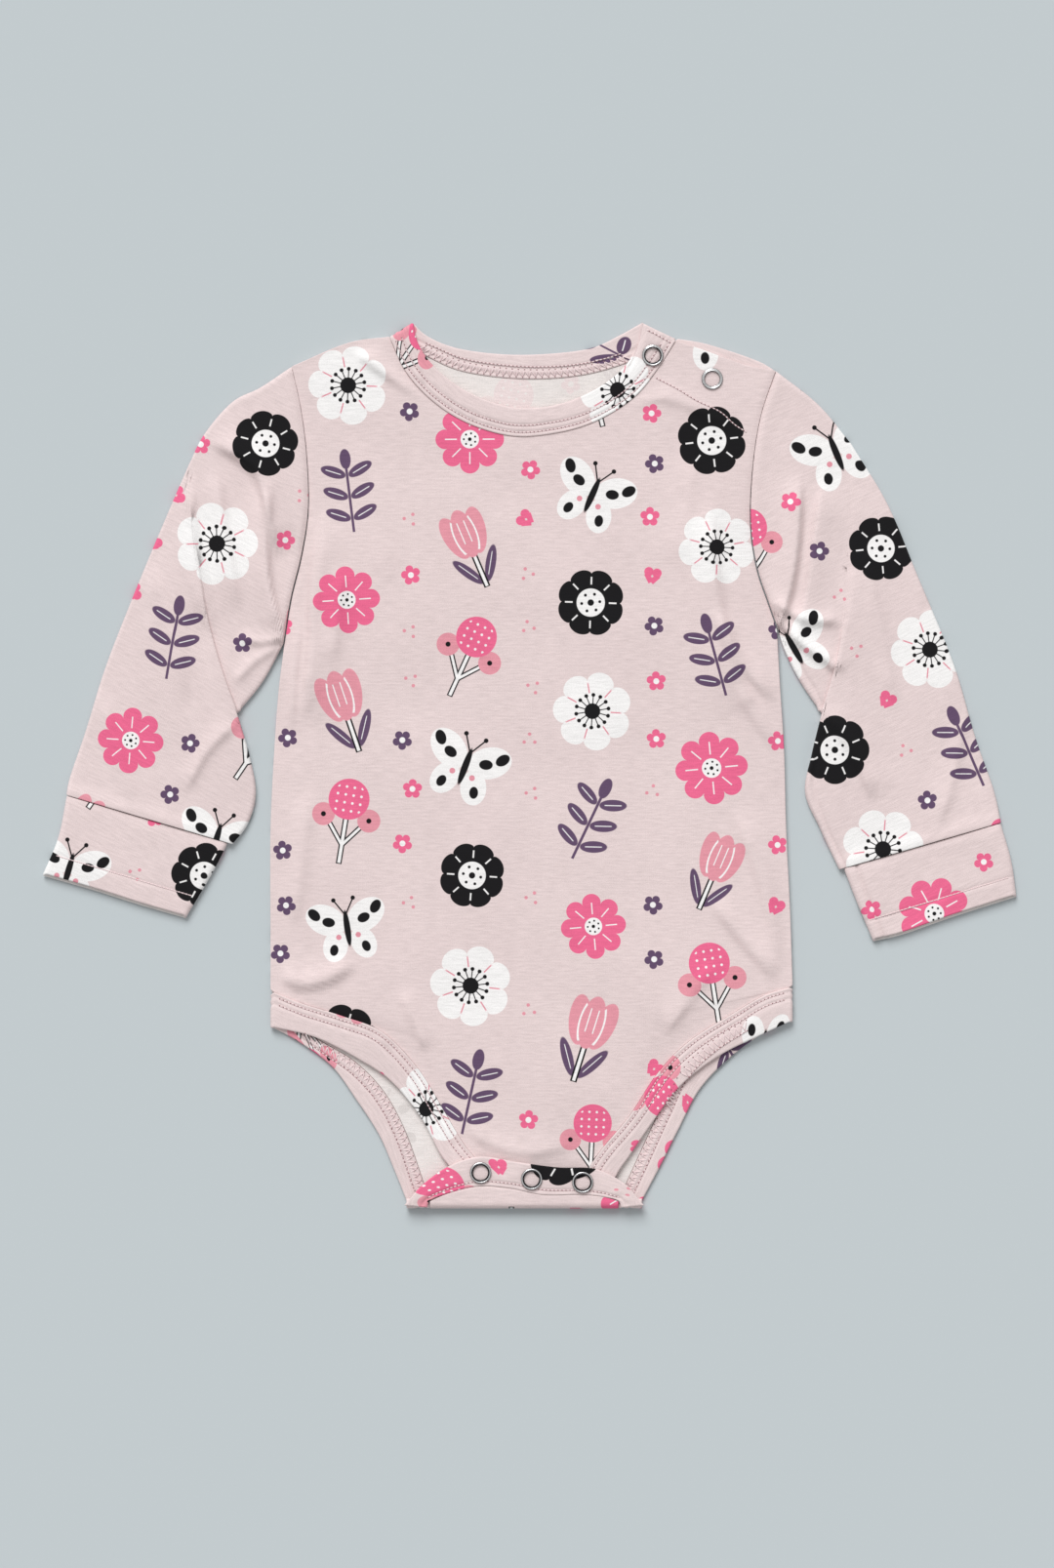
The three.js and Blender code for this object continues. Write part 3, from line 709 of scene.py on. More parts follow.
def front_cloth(looks):
    left = edge(
        (SHOULDER_LEFT, SHOULDER_ROWS),
        (ARMHOLE_LEFT, ARMHOLE_ROWS),
        (SIDE_LEFT, SIDE_ROWS),
        (LEG_SEAM_FRONT_LEFT, LEG_ROWS),
    )
    right = edge(
        (SHOULDER_RIGHT, SHOULDER_ROWS),
        (ARMHOLE_RIGHT, ARMHOLE_ROWS),
        (SIDE_RIGHT, SIDE_ROWS),
        (LEG_SEAM_FRONT_RIGHT, LEG_ROWS),
    )
    top = edge((NECK_FRONT_SEAM, 1))
    bottom = straight(LEG_SEAM_FRONT_LEFT[-1], LEG_SEAM_FRONT_RIGHT[-1])
    rows = SHOULDER_ROWS + ARMHOLE_ROWS + SIDE_ROWS + LEG_ROWS
    across = spread(240, 1.5)
    down = spread(430, 1.6) * rows
    plan = patch(left, right, top, bottom, rows, across, down)
    u = across[None, :]
    v = down[:, None] / rows
    inside = smooth(4 * u * (1 - u)) * smooth(6 * (v - 0.12)) * smooth(5 * (1 - v))
    lift = SHOULDER_LIFT * smooth(3 * u) * smooth(5 * (0.4 - v))
    rim = from_edges(plan)
    z = FRONT_Z + lift + inside * FRONT_CROWN
    z = z + smooth(rim / 12) * creased(plan, FRONT_FOLDS)
    z = z + smooth(rim / 20) * (0.28 * ripple(plan, 34, 3) + 0.14 * ripple(plan, 15, 4))
    z = z + 0.2 * ripple(plan, 6, 5) * np.exp(-rim / 5) * smooth(rim / 2)
    for armhole in (ARMHOLE_LEFT, ARMHOLE_RIGHT):
        z = z - 0.55 * beside(plan, armhole, 1.3)
    grid = drawn_in(lifted(plan, z))
    at_sides = np.interp(down, [4, 5, 13.5, 14.5, 23.5, 24.5], [0.3, 0.4, 0.4, 0.9, 0.9, 0.05])[:, None]
    return cloth("front_cloth", "front_panel", grid, two_rims(plan, JERSEY, 0.05, at_sides), [plan], looks)


def back_cloth(looks):
    left = edge(
        (SHOULDER_LEFT, SHOULDER_ROWS),
        (ARMHOLE_LEFT, ARMHOLE_ROWS),
        (SIDE_LEFT, SIDE_ROWS),
        (LEG_SEAM_BACK_LEFT, LEG_ROWS),
    )
    armhole = [PLACKET_LOW[-1], *ARMHOLE_RIGHT[1:]]
    right = edge(
        (PLACKET_LOW, SHOULDER_ROWS),
        (armhole, ARMHOLE_ROWS),
        (SIDE_RIGHT, SIDE_ROWS),
        (LEG_SEAM_BACK_RIGHT, LEG_ROWS),
    )
    top = edge((NECK_BACK_SEAM, 1))
    bottom = straight(LEG_SEAM_BACK_LEFT[-1], LEG_SEAM_BACK_RIGHT[-1])
    rows = SHOULDER_ROWS + ARMHOLE_ROWS + SIDE_ROWS + LEG_ROWS
    across = spread(240, 3.2)
    down = spread(430, 3.0)
    down = down[down < 1 - 4 / 430] * rows
    plan = patch(left, right, top, bottom, rows, across, down)
    body = lifted(plan, BACK_Z)
    radius = (FLAP_Z - BACK_Z) / 2
    fold_line = bottom(across) * [FLAP_EASE, 0] + [0, CROTCH_BOTTOM + radius + JERSEY / 2]
    turns = np.linspace(0, math.pi, 13)
    swing = np.stack([np.zeros_like(turns), -radius * np.sin(turns)], axis=-1)
    fold = fold_line[None] + swing[:, None]
    fold = lifted(fold, (BACK_Z + FLAP_Z) / 2 - radius * np.cos(turns)[:, None])
    end = edge((FLAP_SEAM, 1))(across) * [FLAP_EASE, 1]
    parts = np.linspace(0, 1, 8)[1:, None, None]
    flap = lifted(fold_line[None] * (1 - parts) + end[None] * parts, FLAP_Z)
    grid = np.concatenate([body, fold, flap])
    rim = from_edges(grid)
    grid = drawn_in(grid)
    steps = np.linalg.norm(np.diff(grid, axis=0), axis=-1)
    reach = np.concatenate([np.zeros((1, steps.shape[1])), np.cumsum(steps, axis=0)])
    folded = np.arange(len(grid))[:, None] >= len(body)
    at_fold = reach[len(body) - 1][None]
    down_the_cloth = np.where(folded, grid[len(body) - 1, :, 1][None] - (reach - at_fold), grid[..., 1])
    places = np.stack([20 - grid[..., 0], down_the_cloth + 14], axis=-1)
    wave = creased(grid, BACK_FOLDS) * smooth(rim / 12) * ~folded
    grid[..., 2] += np.clip(wave, 0, 0.45)
    return cloth("back_cloth", "back_panel", grid, two_rims(grid, JERSEY, 0.1, 0.92), [places], looks)


# Bindings: strips sewn along one edge and folded along the other


def strip(seam, free, rows, across, down):
    """A strip's grid: rows run along it, columns from its sewn edge to its folded one."""
    from_seam = edge((seam, rows))(down)[:, None]
    to_free = edge((free, rows))(down)[:, None]
    return from_seam + (to_free - from_seam) * across[None, :, None]


def pinched(distance, rows):
    """How much thinner cloth is along its rows of stitches."""
    return sum(0.9 * np.exp(-(((distance - row) / 0.8) ** 2)) for row in rows)


def strip_shell(name, node, grid, looks, shift, stitch_rows=BINDING_ROWS, crown=0.25, snaps=(), folds=()):
    """A binding's shell, with a soft crown and a groove along each row of stitches."""
    steps = np.linalg.norm(np.diff(grid, axis=1), axis=-1)
    reach = np.concatenate([np.zeros((len(grid), 1)), np.cumsum(steps, axis=1)], axis=1)
    wide = reach[:, -1:]
    rim = from_edges(grid)
    run = np.linalg.norm(np.diff(grid.mean(axis=1), axis=0), axis=-1)
    run = np.concatenate([[0], np.cumsum(run)])[:, None]
    places = np.stack([np.broadcast_to(run, reach.shape) + shift[0], reach + shift[1]], axis=-1)
    half = two_rims(grid, BINDING, 0.92, np.linspace(0.55, 0.92, grid.shape[1])[None])
    half = half - pinched(reach, stitch_rows) * smooth(rim / 1.2) / 2
    up = normals(grid)
    puckers = 0.18 * ripple(np.stack([run + 0 * reach, reach * 0.4], axis=-1), 3.2, 11)
    puckers = puckers * np.exp(-((reach - 3.6) / 4) ** 2)
    rise = crown * smooth(2 * rim / wide) + puckers * smooth(rim / 1.5)
    for x, y, _ in snaps:
        away = np.linalg.norm(grid[..., :2] - [x, y], axis=-1)
        rise = rise - 0.3 * smooth(1.6 - away / SNAP_RADIUS)
    rise = np.where(grid[..., 2] > 2, rise + creased(grid, folds), 0.6 * np.maximum(rise, 0))
    raised = grid.copy()
    raised[..., 2] += rise * (np.abs(up[..., 2]) > 0.5)
    return cloth(name, node, drawn_in(raised), half, [places], looks)


def folded_binding(
    name, node, front, back, rows, back_rows, outward, looks, shift, snaps=(), turned_up=False, folds=(),
):
    """A binding that runs along the front, turns over at the garment's edge and runs on beneath.
    With turned_up, its far end turns up with the crotch flap."""
    across = spread(14, 0.8)
    outward = np.array([*outward, 0.0])
    long_front = length_of(front[0])
    long_back = length_of(back[0])
    bulge = (FRONT_BINDING_Z - BACK_BINDING_Z + BINDING) / 2
    hold = 1.5 * bulge

    def held_back(seam, free, count, z):
        last = lifted(strip(seam, free, count, across, np.array([0.0, 1.0])), z)
        way = last[1] - last[0]
        way = way / np.linalg.norm(way, axis=-1, keepdims=True)
        return last[0] + way * (bulge / np.abs(way @ outward))[:, None]

    down = (1 - spread(long_front, 1.2))[:-1]
    down = down[down > hold / long_front] * rows
    over = lifted(strip(*front, rows, across, down), FRONT_BINDING_Z)
    down = spread(long_back, 1.2)
    down = down[down > hold / long_back] * back_rows
    under = lifted(strip(*back, back_rows, across, down), BACK_BINDING_Z)
    start = held_back(*front, rows, FRONT_BINDING_Z)
    end = held_back(*back, back_rows, BACK_BINDING_Z)
    radius = (FRONT_BINDING_Z - BACK_BINDING_Z) / 2
    turns = np.linspace(0, math.pi, 13)[:, None, None]
    turn = start[None] + (end - start)[None] * turns / math.pi + outward * radius * np.sin(turns)
    turn[..., 2] = (FRONT_BINDING_Z + BACK_BINDING_Z) / 2 + radius * np.cos(turns[..., 0])
    grid = np.concatenate([over, turn, under])
    if turned_up:
        grid = np.concatenate([grid, *[row[None] for row in turned_up_end(under)]])
    return strip_shell(name, node, grid, looks, shift, snaps=snaps, folds=folds)


def turned_up_end(under):
    """Rows that carry a leg binding's back end round the crotch fold and in under the flap."""
    radius = 1.25
    start = under[-1].copy()
    fold_y = CROTCH_BOTTOM + radius + BINDING / 2
    for turn in np.linspace(0, math.pi, 9):
        row = start.copy()
        row[:, 1] = fold_y - radius * math.sin(turn)
        row[:, 2] = BACK_BINDING_Z + radius * (1 - math.cos(turn))
        yield row
    for back_by in (1.0, 2.0, 2.6):
        inner = row.copy()
        inner[:, 1] += back_by
        yield inner


def bindings(looks):
    fold_line = np.array(NECK_FRONT_EDGE[0]) - NECK_FRONT_SEAM[0]
    fold_line = fold_line / np.linalg.norm(fold_line)
    neck = folded_binding(
        "neckband_cloth", "neckband",
        (NECK_FRONT_SEAM, NECK_FRONT_EDGE), ([*NECK_BACK_SEAM, NECK_BACK_END], NECK_BACK_EDGE),
        NECK_ROWS, 12, (-fold_line[1], fold_line[0]), looks, (-5, 18), [SNAPS["shoulder_snap_1"]],
        folds=NECK_FOLDS,
    )
    left = folded_binding(
        "leg_binding_cloth_left", "leg_binding_left",
        (LEG_SEAM_FRONT_LEFT, LEG_EDGE_FRONT_LEFT), (LEG_SEAM_BACK_LEFT, LEG_EDGE_BACK_LEFT),
        LEG_ROWS, LEG_ROWS, (-1, 0), looks, (40, 96), turned_up=True,
    )
    right = folded_binding(
        "leg_binding_cloth_right", "leg_binding_right",
        (LEG_SEAM_FRONT_RIGHT, LEG_EDGE_FRONT_RIGHT), (LEG_SEAM_BACK_RIGHT, LEG_EDGE_BACK_RIGHT),
        LEG_ROWS, LEG_ROWS, (1, 0), looks, (-30, 180), turned_up=True,
    )
    seam = [FLAP_SEAM_ENDS[0], *FLAP_SEAM, FLAP_SEAM_ENDS[1]]
    down = spread(length_of(FLAP_EDGE), 1.0)
    grid = lifted(strip(seam, FLAP_EDGE, 1, spread(13, 0.7), down), FLAP_Z)
    rings = [place for name, place in SNAPS.items() if name.startswith("crotch")]
    crotch = strip_shell("crotch_binding_cloth", "crotch_binding", grid, looks, (70, 260), [2.4], 0.2, rings)
    grid = lifted(strip(PLACKET_TOP, PLACKET_LOW, 1, spread(12, 0.8), spread(50, 1.2)), BACK_BINDING_Z)
    placket = strip_shell("placket_cloth", "shoulder_placket", grid, looks, (10, 300), [9.0], 0)
    return neck, left, right, crotch, placket


# Sleeves and cuffs: tubes pressed flat


def flat_ring(across, width, thickness):
    """Places round a pressed tube, from its left edge over the front and back under it.
    Each has a share of the width, and how far it has risen from the edge's level."""
    margin = thickness / 2 / width
    bend = EDGE_BEND / width
    rim = margin + bend * np.array([0, 0.06, 0.2, 0.45, 0.75, 1.0])
    level = np.linspace(rim[-1], 1 - rim[-1], across)[1:-1]
    over = np.concatenate([rim, level, 1 - rim[::-1]])
    under = np.concatenate([rim, level[::2], 1 - rim[::-1]])[1:-1][::-1]

    def rise(places):
        inside = np.minimum(1, (np.minimum(places, 1 - places) - margin) / bend)
        return np.sqrt(np.clip(1 - (1 - inside) ** 2, 0, 1))

    return np.concatenate([over, under]), np.concatenate([rise(over), -rise(under)]), len(over) - 1


def tube(name, node, plan, down, fold, thickness, back_z, front_z, looks, grain, shift, mirror_left, rims):
    """A pressed tube. plan gives the place on the floor, and front_z the height of the upper layer.
    fold gives how far the upper layer is moved and how much higher it lies.
    rims are rounded()'s depths at both ends."""
    wide = np.median(np.linalg.norm(plan(np.array([0.0]), down) - plan(np.array([1.0]), down), axis=-1))
    shares, rise, under_from = flat_ring(int(wide / 1.1), wide, thickness)
    step, lift = fold(shares)
    ground = plan(shares, down)
    edge_z = (back_z + front_z(ground, shares).min(axis=1, keepdims=True)) / 2
    on_top = np.clip(rise, 0, 1)[None]
    beneath = np.clip(-rise, 0, 1)[None]
    z = edge_z + (front_z(ground, shares) + lift - edge_z) * on_top - (edge_z - back_z) * beneath
    grid = lifted(ground + step * on_top[..., None], z)
    prints = turned(grid[..., :2], grain, shift)
    hinge = prints[:, :1] if mirror_left else prints[:, under_from:under_from + 1]
    under = np.stack([2 * hinge[..., 0] - prints[..., 0], prints[..., 1]], axis=-1)
    grid = drawn_in(grid, False)
    half = rounded(from_edges(grid, False), thickness, np.linspace(*rims, len(grid))[:, None])
    return cloth(name, node, grid, half, [prints, under], looks, True, under_from)


def elbow_rows():
    """The fold's path over its own rows: shares of the run, of the tuck and of the turns, the rise
    within the folded cloth, and the place within a soft unfolded slope."""
    lower = np.linspace(0, 1, 5)[:-1]
    bend = np.linspace(0, math.pi, 7)
    middle = np.linspace(0, 1, 5)[1:-1]
    zero = np.zeros_like
    run = np.concatenate([lower - 1, zero(bend), zero(middle), zero(bend)])
    tuck = np.concatenate([lower, zero(bend) + 1, 1 - middle, zero(bend)])
    swing = np.concatenate([zero(lower), np.sin(bend), zero(middle), -np.sin(bend)])
    rise = np.concatenate([zero(lower), (1 - np.cos(bend)) / 4, zero(middle) + 0.5, 0.5 + (1 - np.cos(bend)) / 4])
    return run, tuck, swing, rise, np.linspace(-1, 0, len(run))


def sleeve_cloth(side, looks):
    sizes = SLEEVES[side]
    left_side = side == "left"
    armhole = ARMHOLE_LEFT if left_side else ARMHOLE_RIGHT
    ends = np.array([sizes["outer"][1][-1], sizes["inner"][1][-1]], float)
    elbow = edge((sizes["elbow"], 1))
    parts = []
    for part, rows, top, bottom in (
        (0, UPPER_ARM_ROWS, edge((armhole, 1)), elbow),
        (1, FOREARM_ROWS, elbow, straight(*ends)),
    ):
        outer, inner = (edge((sizes[name][part], rows)) for name in ("outer", "inner"))
        parts.append((outer, inner, top, bottom, rows))
    rows = UPPER_ARM_ROWS + FOREARM_ROWS

    def towards_body(u):
        return u if left_side else 1 - u

    def plan(u, down):
        u = towards_body(u)
        above = patch(*parts[0], u, np.minimum(down, UPPER_ARM_ROWS))
        below = patch(*parts[1], u, np.maximum(down - UPPER_ARM_ROWS, 0))
        return np.where((down <= UPPER_ARM_ROWS)[:, None, None], above, below)

    run, tuck, swing, rise, slope = elbow_rows()
    upper = spread(110, 1.3)[:-5] * UPPER_ARM_ROWS
    upper = upper[upper < UPPER_ARM_ROWS - 0.75]
    fore = UPPER_ARM_ROWS + spread(190, 1.3)[5:] * FOREARM_ROWS
    fore = fore[fore > UPPER_ARM_ROWS + 0.4]
    at_fold = UPPER_ARM_ROWS + slope * ELBOW_ROWS
    down = np.concatenate([upper, at_fold, fore])
    folding = slice(len(upper), len(upper) + len(run))

    def fold(u):
        """The forearm lies over the upper arm: crisp and tucked near the body, a soft slope further out."""
        near = towards_body(u)[None, :]
        high = ELBOW_STEP * smooth(near / 0.8)
        crisp = smooth((near - sizes["crisp_from"]) / ELBOW_TURN)
        lap_from = sizes["crisp_from"] + ELBOW_TURN * 0.9
        lap = np.clip((near - lap_from) / (1 - lap_from), 0, 1)
        along = elbow(np.minimum(near[0] + 0.01, 1)) - elbow(np.maximum(near[0] - 0.01, 0))
        way = np.stack([along[:, 1], -along[:, 0]], axis=-1) * (1 if left_side else -1)
        way = way / np.linalg.norm(way, axis=-1, keepdims=True)
        folded = run[:, None] * ELBOW_RUN + tuck[:, None] * ELBOW_TUCK * lap + swing[:, None] * high * lap / 4
        at_elbow = plan(u, np.array([float(UPPER_ARM_ROWS)])) + folded[..., None] * way
        step = np.zeros((len(down), len(u), 2))
        step[folding] = crisp[..., None] * (at_elbow - plan(u, down[folding]))
        past = down - UPPER_ARM_ROWS
        risen = np.where(past > 0, 1.0, 0.0)
        risen[folding] = rise
        sloped = smooth(0.5 + past * np.where(past < 0, 7, 11) / ELBOW_SLOPE)
        lift = high * (risen[:, None] * crisp + sloped[:, None] * (1 - crisp))
        return step, lift * np.exp(-((np.maximum(past, 0) / ELBOW_REACH) ** 2))[:, None]

    def front_z(ground, u):
        rim = np.minimum(down * 2.5, (rows - down) * 0.8)[:, None]
        crown = SLEEVE_CROWN * smooth(4 * u * (1 - u))[None, :]
        soft = 0.22 * ripple(ground, 26, 21) + 0.12 * ripple(ground, 11, 22)
        creases = creased(ground, SLEEVE_FOLDS[side])
        to_cuff = off_line(ground, *ends)
        gathers = 0.2 * ripple(ground, 4.5, 23) * np.exp(-to_cuff / 7) * smooth(to_cuff / 3)
        overhang = 0.9 * np.exp(-(((to_cuff - 1.5) / 4) ** 2))
        seam = 0.7 * beside(ground, armhole, 5.5) - 1.2 * beside(ground, armhole, 1.7)
        for path in sizes["seams"]:
            seam = seam - 1.1 * beside(ground, path, 1.0)
        height = SLEEVE_FRONT_Z + crown + smooth(rim) * (soft + creases) + gathers + overhang + seam
        return np.maximum(height, SLEEVE_BACK_Z + SLEEVE_JERSEY + 0.05)

    return tube(
        "sleeve_cloth_" + side, "sleeve_" + side, plan, down, fold, SLEEVE_JERSEY, SLEEVE_BACK_Z, front_z,
        looks, sizes["grain"], (33, 18) if left_side else (8, -25), left_side, (0.5, 0.6),
    )


def cuff_cloth(side, looks):
    sizes = SLEEVES[side]
    left, right = (edge((line, 1)) for line in sizes["cuff_sides"])
    top = straight(sizes["cuff_sides"][0][0], sizes["cuff_sides"][1][0])
    bottom = edge((sizes["hem"], 1))
    down = spread(44, 1.2)

    def plan(u, places):
        return patch(left, right, top, bottom, 1, u, places)

    def fold(u):
        """The upper layer's hem is drawn back a little from the lower one's."""
        way = plan(u, np.array([1.0])) - plan(u, np.array([0.9]))
        way = way / np.linalg.norm(way, axis=-1, keepdims=True)
        drawn_back = -HEM_PEEK * smooth((down - 0.6) / 0.4)[:, None, None] * way
        return drawn_back, np.zeros((len(down), len(u)))

    def front_z(ground, u):
        inside = smooth(5 * u * (1 - u))[None, :] * smooth(6 * down * (1 - down))[:, None]
        groove = 0.4 * np.exp(-(((down - 0.72) * 44 / 0.9) ** 2))[:, None]
        sunk = 0.45 * np.exp(-((down * 44 / 3) ** 2))[:, None]
        height = CUFF_FRONT_Z + 0.4 * ripple(ground, 17, 31) * inside - groove - sunk
        if "cuff_seam" in sizes:
            height = height - 1.1 * beside(ground, sizes["cuff_seam"], 1.0)
        return height

    return tube(
        "cuff_cloth_" + side, "cuff_" + side, plan, down, fold, CUFF_CLOTH, CUFF_BACK_Z, front_z,
        looks, sizes["grain"], (90, 60) if side == "left" else (-60, 140), side == "left", (0.4, 0.92),
    )


# Ring snaps


def ring_snap(name, looks, highlight_band):
    """A rounded steel ring. A band just inside its rim takes the pale copy of the steel, which paints a highlight; the
    rest takes the dark copy, which paints the ring's shade.
    """
    x, y, seat = SNAPS[name]
    middle = (SNAP_RADIUS + SNAP_HOLE) / 2
    half = (SNAP_RADIUS - SNAP_HOLE) / 2
    turn = np.linspace(0, 2 * math.pi, 29)[:-1]
    reach = middle + half * np.cos(turn)
    height = SNAP_HEIGHT / 2 * (1 + np.sin(turn))
    lip = np.exp(-(((reach - SNAP_HOLE - 0.35) / 0.3) ** 2)) * (np.sin(turn) > 0)
    groove = np.exp(-(((reach - SNAP_HOLE - 0.75) / 0.18) ** 2)) * (np.sin(turn) > 0)
    height = height + 0.12 * lip - 0.22 * groove
    round_it = np.linspace(0, 2 * math.pi, 73)[:-1]
    points = np.stack([
        x + np.outer(np.cos(round_it), reach),
        y + np.outer(np.sin(round_it), reach),
        seat + 0.05 + np.broadcast_to(height, (72, 28)),
    ], axis=-1)
    index = np.arange(72 * 28).reshape(72, 28)
    far = np.roll(index, -1, axis=0)
    faces = quads(index, far, np.roll(far, -1, axis=1), np.roll(index, -1, axis=1))
    middle_of_face = (np.roll(reach, -1) + reach) / 2
    # The band of faces that take the pale steel: a painted highlight.
    painted_highlight = (middle_of_face > SNAP_RADIUS - 0.15 - highlight_band) & (middle_of_face < SNAP_RADIUS - 0.15)
    look_of_face = np.tile(painted_highlight, 72).astype(int)
    piece = make(name + "_ring", points.reshape(-1, 3), faces, looks, look_of_face)
    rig.replaces(piece, name)
    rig.slot(piece, "snap_metal")
    return piece


# Stitches


def landed(plan, target, side=1):
    """Points on a piece's surface over or under places on the floor, and the surface's direction."""
    tree = BVHTree.FromObject(target, bpy.context.evaluated_depsgraph_get())
    points = []
    ways = []
    for x, y in plan * MM:
        hit, normal, _, _ = tree.ray_cast((x, y, side * 0.05), (0, 0, -side))
        points.append((np.nan,) * 3 if hit is None else tuple(hit))
        ways.append((0, 0, side) if hit is None else tuple(normal))
    return np.array(points) / MM, np.array(ways)


def threads(name, ends, ways, looks, first_painted_shade):
    """A short curved thread between each pair of ends, sunk into the cloth at both. From the given index on, the pairs
    are short dark pieces at each needle hole that a thread comes out of; their colour is painted shade, not thread."""
    look_of_pair = (np.arange(len(ends)) >= first_painted_shade).astype(int)
    good = ~np.isnan(ends).any(axis=(1, 2))
    look_of_pair = look_of_pair[good]
    ends, up = ends[good], ways[good].mean(axis=1)[:, None, None]
    t = np.array([0, 0.08, 0.25, 0.5, 0.75, 0.92, 1.0])
    turn = np.linspace(0, 2 * math.pi, 7)[:-1]
    way = ends[:, 1] - ends[:, 0]
    across = np.cross(way, up[:, 0, 0])
    across = (across / np.linalg.norm(across, axis=-1, keepdims=True))[:, None, None]
    middle = ends[:, None, :1] + way[:, None, None] * t[None, :, None, None]
    lift = THREAD * (1.5 * np.sin(math.pi * t) ** 0.6 - 0.9)
    radius = THREAD * np.sqrt(np.clip(1 - (2 * t - 1) ** 6, 0.06, 1))
    ring = np.cos(turn)[None, None, :, None] * across + np.sin(turn)[None, None, :, None] * up
    points = middle + up * lift[None, :, None, None] + ring * radius[None, :, None, None]
    count = len(ends)
    index = np.arange(count * 42).reshape(count, 7, 6)
    around = np.roll(index, -1, axis=2)
    faces = [quads(index[:, :-1], around[:, :-1], around[:, 1:], index[:, 1:])]
    look_of_face = [np.repeat(look_of_pair, 36)]
    for cap, order in ((index[:, 0], (3, 2, 1, 0)), (index[:, -1], (0, 1, 2, 3))):
        faces.append(quads(*(cap[:, k] for k in order)))
        faces.append(quads(*(cap[:, (k + 3) % 6] for k in order)))
        look_of_face += [look_of_pair] * 2
    return make(name, points.reshape(-1, 3), np.concatenate(faces), looks, np.concatenate(look_of_face))


def row_ends(line, length=STITCH, gap=STITCH_GAP):
    """Pairs of ends for stitches one after another along a line."""
    steps = np.linalg.norm(np.diff(line, axis=0), axis=-1)
    reach = np.concatenate([[0], np.cumsum(steps)])
    starts = np.arange(0.6, reach[-1] - length, length + gap)
    places = np.stack([starts, starts + length], axis=-1)
    return np.stack([np.interp(places, reach, line[:, k]) for k in (0, 1)], axis=-1)


def zigzag_ends(line_a, line_b, step=1.5):
    """Pairs of ends for a thread that runs to and fro between two lines."""
    count = int(np.linalg.norm(np.diff(line_a, axis=0), axis=-1).sum() / step)
    places = np.linspace(0, 1, count)
    share = np.linspace(0, 1, len(line_a))
    a = np.stack([np.interp(places, share, line_a[:, k]) for k in (0, 1)], axis=-1)
    share = np.linspace(0, 1, len(line_b))
    b = np.stack([np.interp(places, share, line_b[:, k]) for k in (0, 1)], axis=-1)
    path = np.where((np.arange(count) % 2)[:, None] == 0, a, b)
    return np.stack([path[:-1], path[1:]], axis=1)


def offset_line(seam, free, distance, first=0.0, last=1.0):
    """A line on a strip, a distance in from its sewn edge."""
    share = np.linspace(first, last, 200)
    a = edge((seam, 1))(share)
    b = edge((free, 1))(share)
    wide = np.linalg.norm(b - a, axis=-1, keepdims=True)
    return a + (b - a) / wide * distance


def stitched(name, target, rows, looks, side=1):
    """All the stitches of one piece, which lie on its surface."""
    ends = np.concatenate(rows)
    way = ends[:, 1] - ends[:, 0]
    way = way / np.linalg.norm(way, axis=-1, keepdims=True) * HOLE
    # A short dark piece at each stitch's needle hole, painting the shade in it.
    painted_hole_shades = np.stack([ends[:, 0] - way * 0.8, ends[:, 0] + way * 0.2], axis=1)
    both = np.concatenate([ends, painted_hole_shades])
    points, ways = landed(both.reshape(-1, 2), target, side)
    return threads(name, points.reshape(-1, 2, 3), ways.reshape(-1, 2, 3), looks, len(ends))


# Materials, worked out from each point's place on the printed cloth


class Field:
    """A number that changes over a surface."""

    def __init__(self, tree, socket):
        self.tree = tree
        self.socket = socket

    def made(self, operation, *others):
        node = self.tree.nodes.new("ShaderNodeMath")
        node.operation = operation
        for place, value in zip(node.inputs, (self, *others)):
            if isinstance(value, Field):
                self.tree.links.new(value.socket, place)
            else:
                place.default_value = float(value)
        return Field(self.tree, node.outputs[0])

    def __add__(self, other):
        return self.made("ADD", other)

    def __sub__(self, other):
        return self.made("SUBTRACT", other)

    def __mul__(self, other):
        return self.made("MULTIPLY", other)

    def __truediv__(self, other):
        return self.made("DIVIDE", other)

    def __neg__(self):
        return self.made("MULTIPLY", -1)

    def __abs__(self):
        return self.made("ABSOLUTE")

    def __rsub__(self, other):
        return self.made("MULTIPLY_ADD", -1, other)

    __radd__ = __add__
    __rmul__ = __mul__

    def sin(self):
        return self.made("SINE")

    def cos(self):
        return self.made("COSINE")

    def root(self):
        return self.made("SQRT")

    def floor(self):
        return self.made("FLOOR")

    def fract(self):
        return self.made("FRACT")

    def least(self, other):
        return self.made("MINIMUM", other)

    def most(self, other):
        return self.made("MAXIMUM", other)

    def over(self, other):
        return self.made("GREATER_THAN", other)


def far(x, y):
    return (x * x + y * y).root()


def disc(x, y, cx, cy, radius):
    return far(x - cx, y - cy) - radius


def oval(x, y, cx, cy, wide, high, tilt=0.0):
    """Signed distance to an oval, about right near its edge. tilt is in radians to the left."""
    a = x - cx
    b = y - cy
    if tilt:
        a, b = a * math.cos(tilt) + b * math.sin(tilt), b * math.cos(tilt) - a * math.sin(tilt)
    return (far(a / wide, b / high) - 1) * min(wide, high)


def ray(x, y, from_point, to_point, half):
    """Signed distance to a straight stroke with square ends."""
    (ax, ay), (bx, by) = from_point, to_point
    long = math.hypot(bx - ax, by - ay)
    ux, uy = (bx - ax) / long, (by - ay) / long
    along = (x - ax) * ux + (y - ay) * uy
    off = abs((y - ay) * ux - (x - ax) * uy) - half
    return off.most(abs(along - long / 2) - long / 2)


def anemone(x, y, r, angle, lay):
    wave = abs((angle * 3.5).cos())
    rim = r - (wave.root() * 4.0 + 12.0)
    lay(WHITE, rim)
    lay(SALMON, (r * wave / 3.5 - 0.28).most(7.4 - r).most(rim + 1.2))
    arc = ((angle * (14 / (2 * math.pi))).fract() - 0.5) * (2 * math.pi / 14)
    lay(BLACK, (abs(arc * r) - 0.22).most(r - 6.4))
    lay(BLACK, far(r - 6.6, arc * 6.6) - 0.8)
    lay(BLACK, r - 3.2)


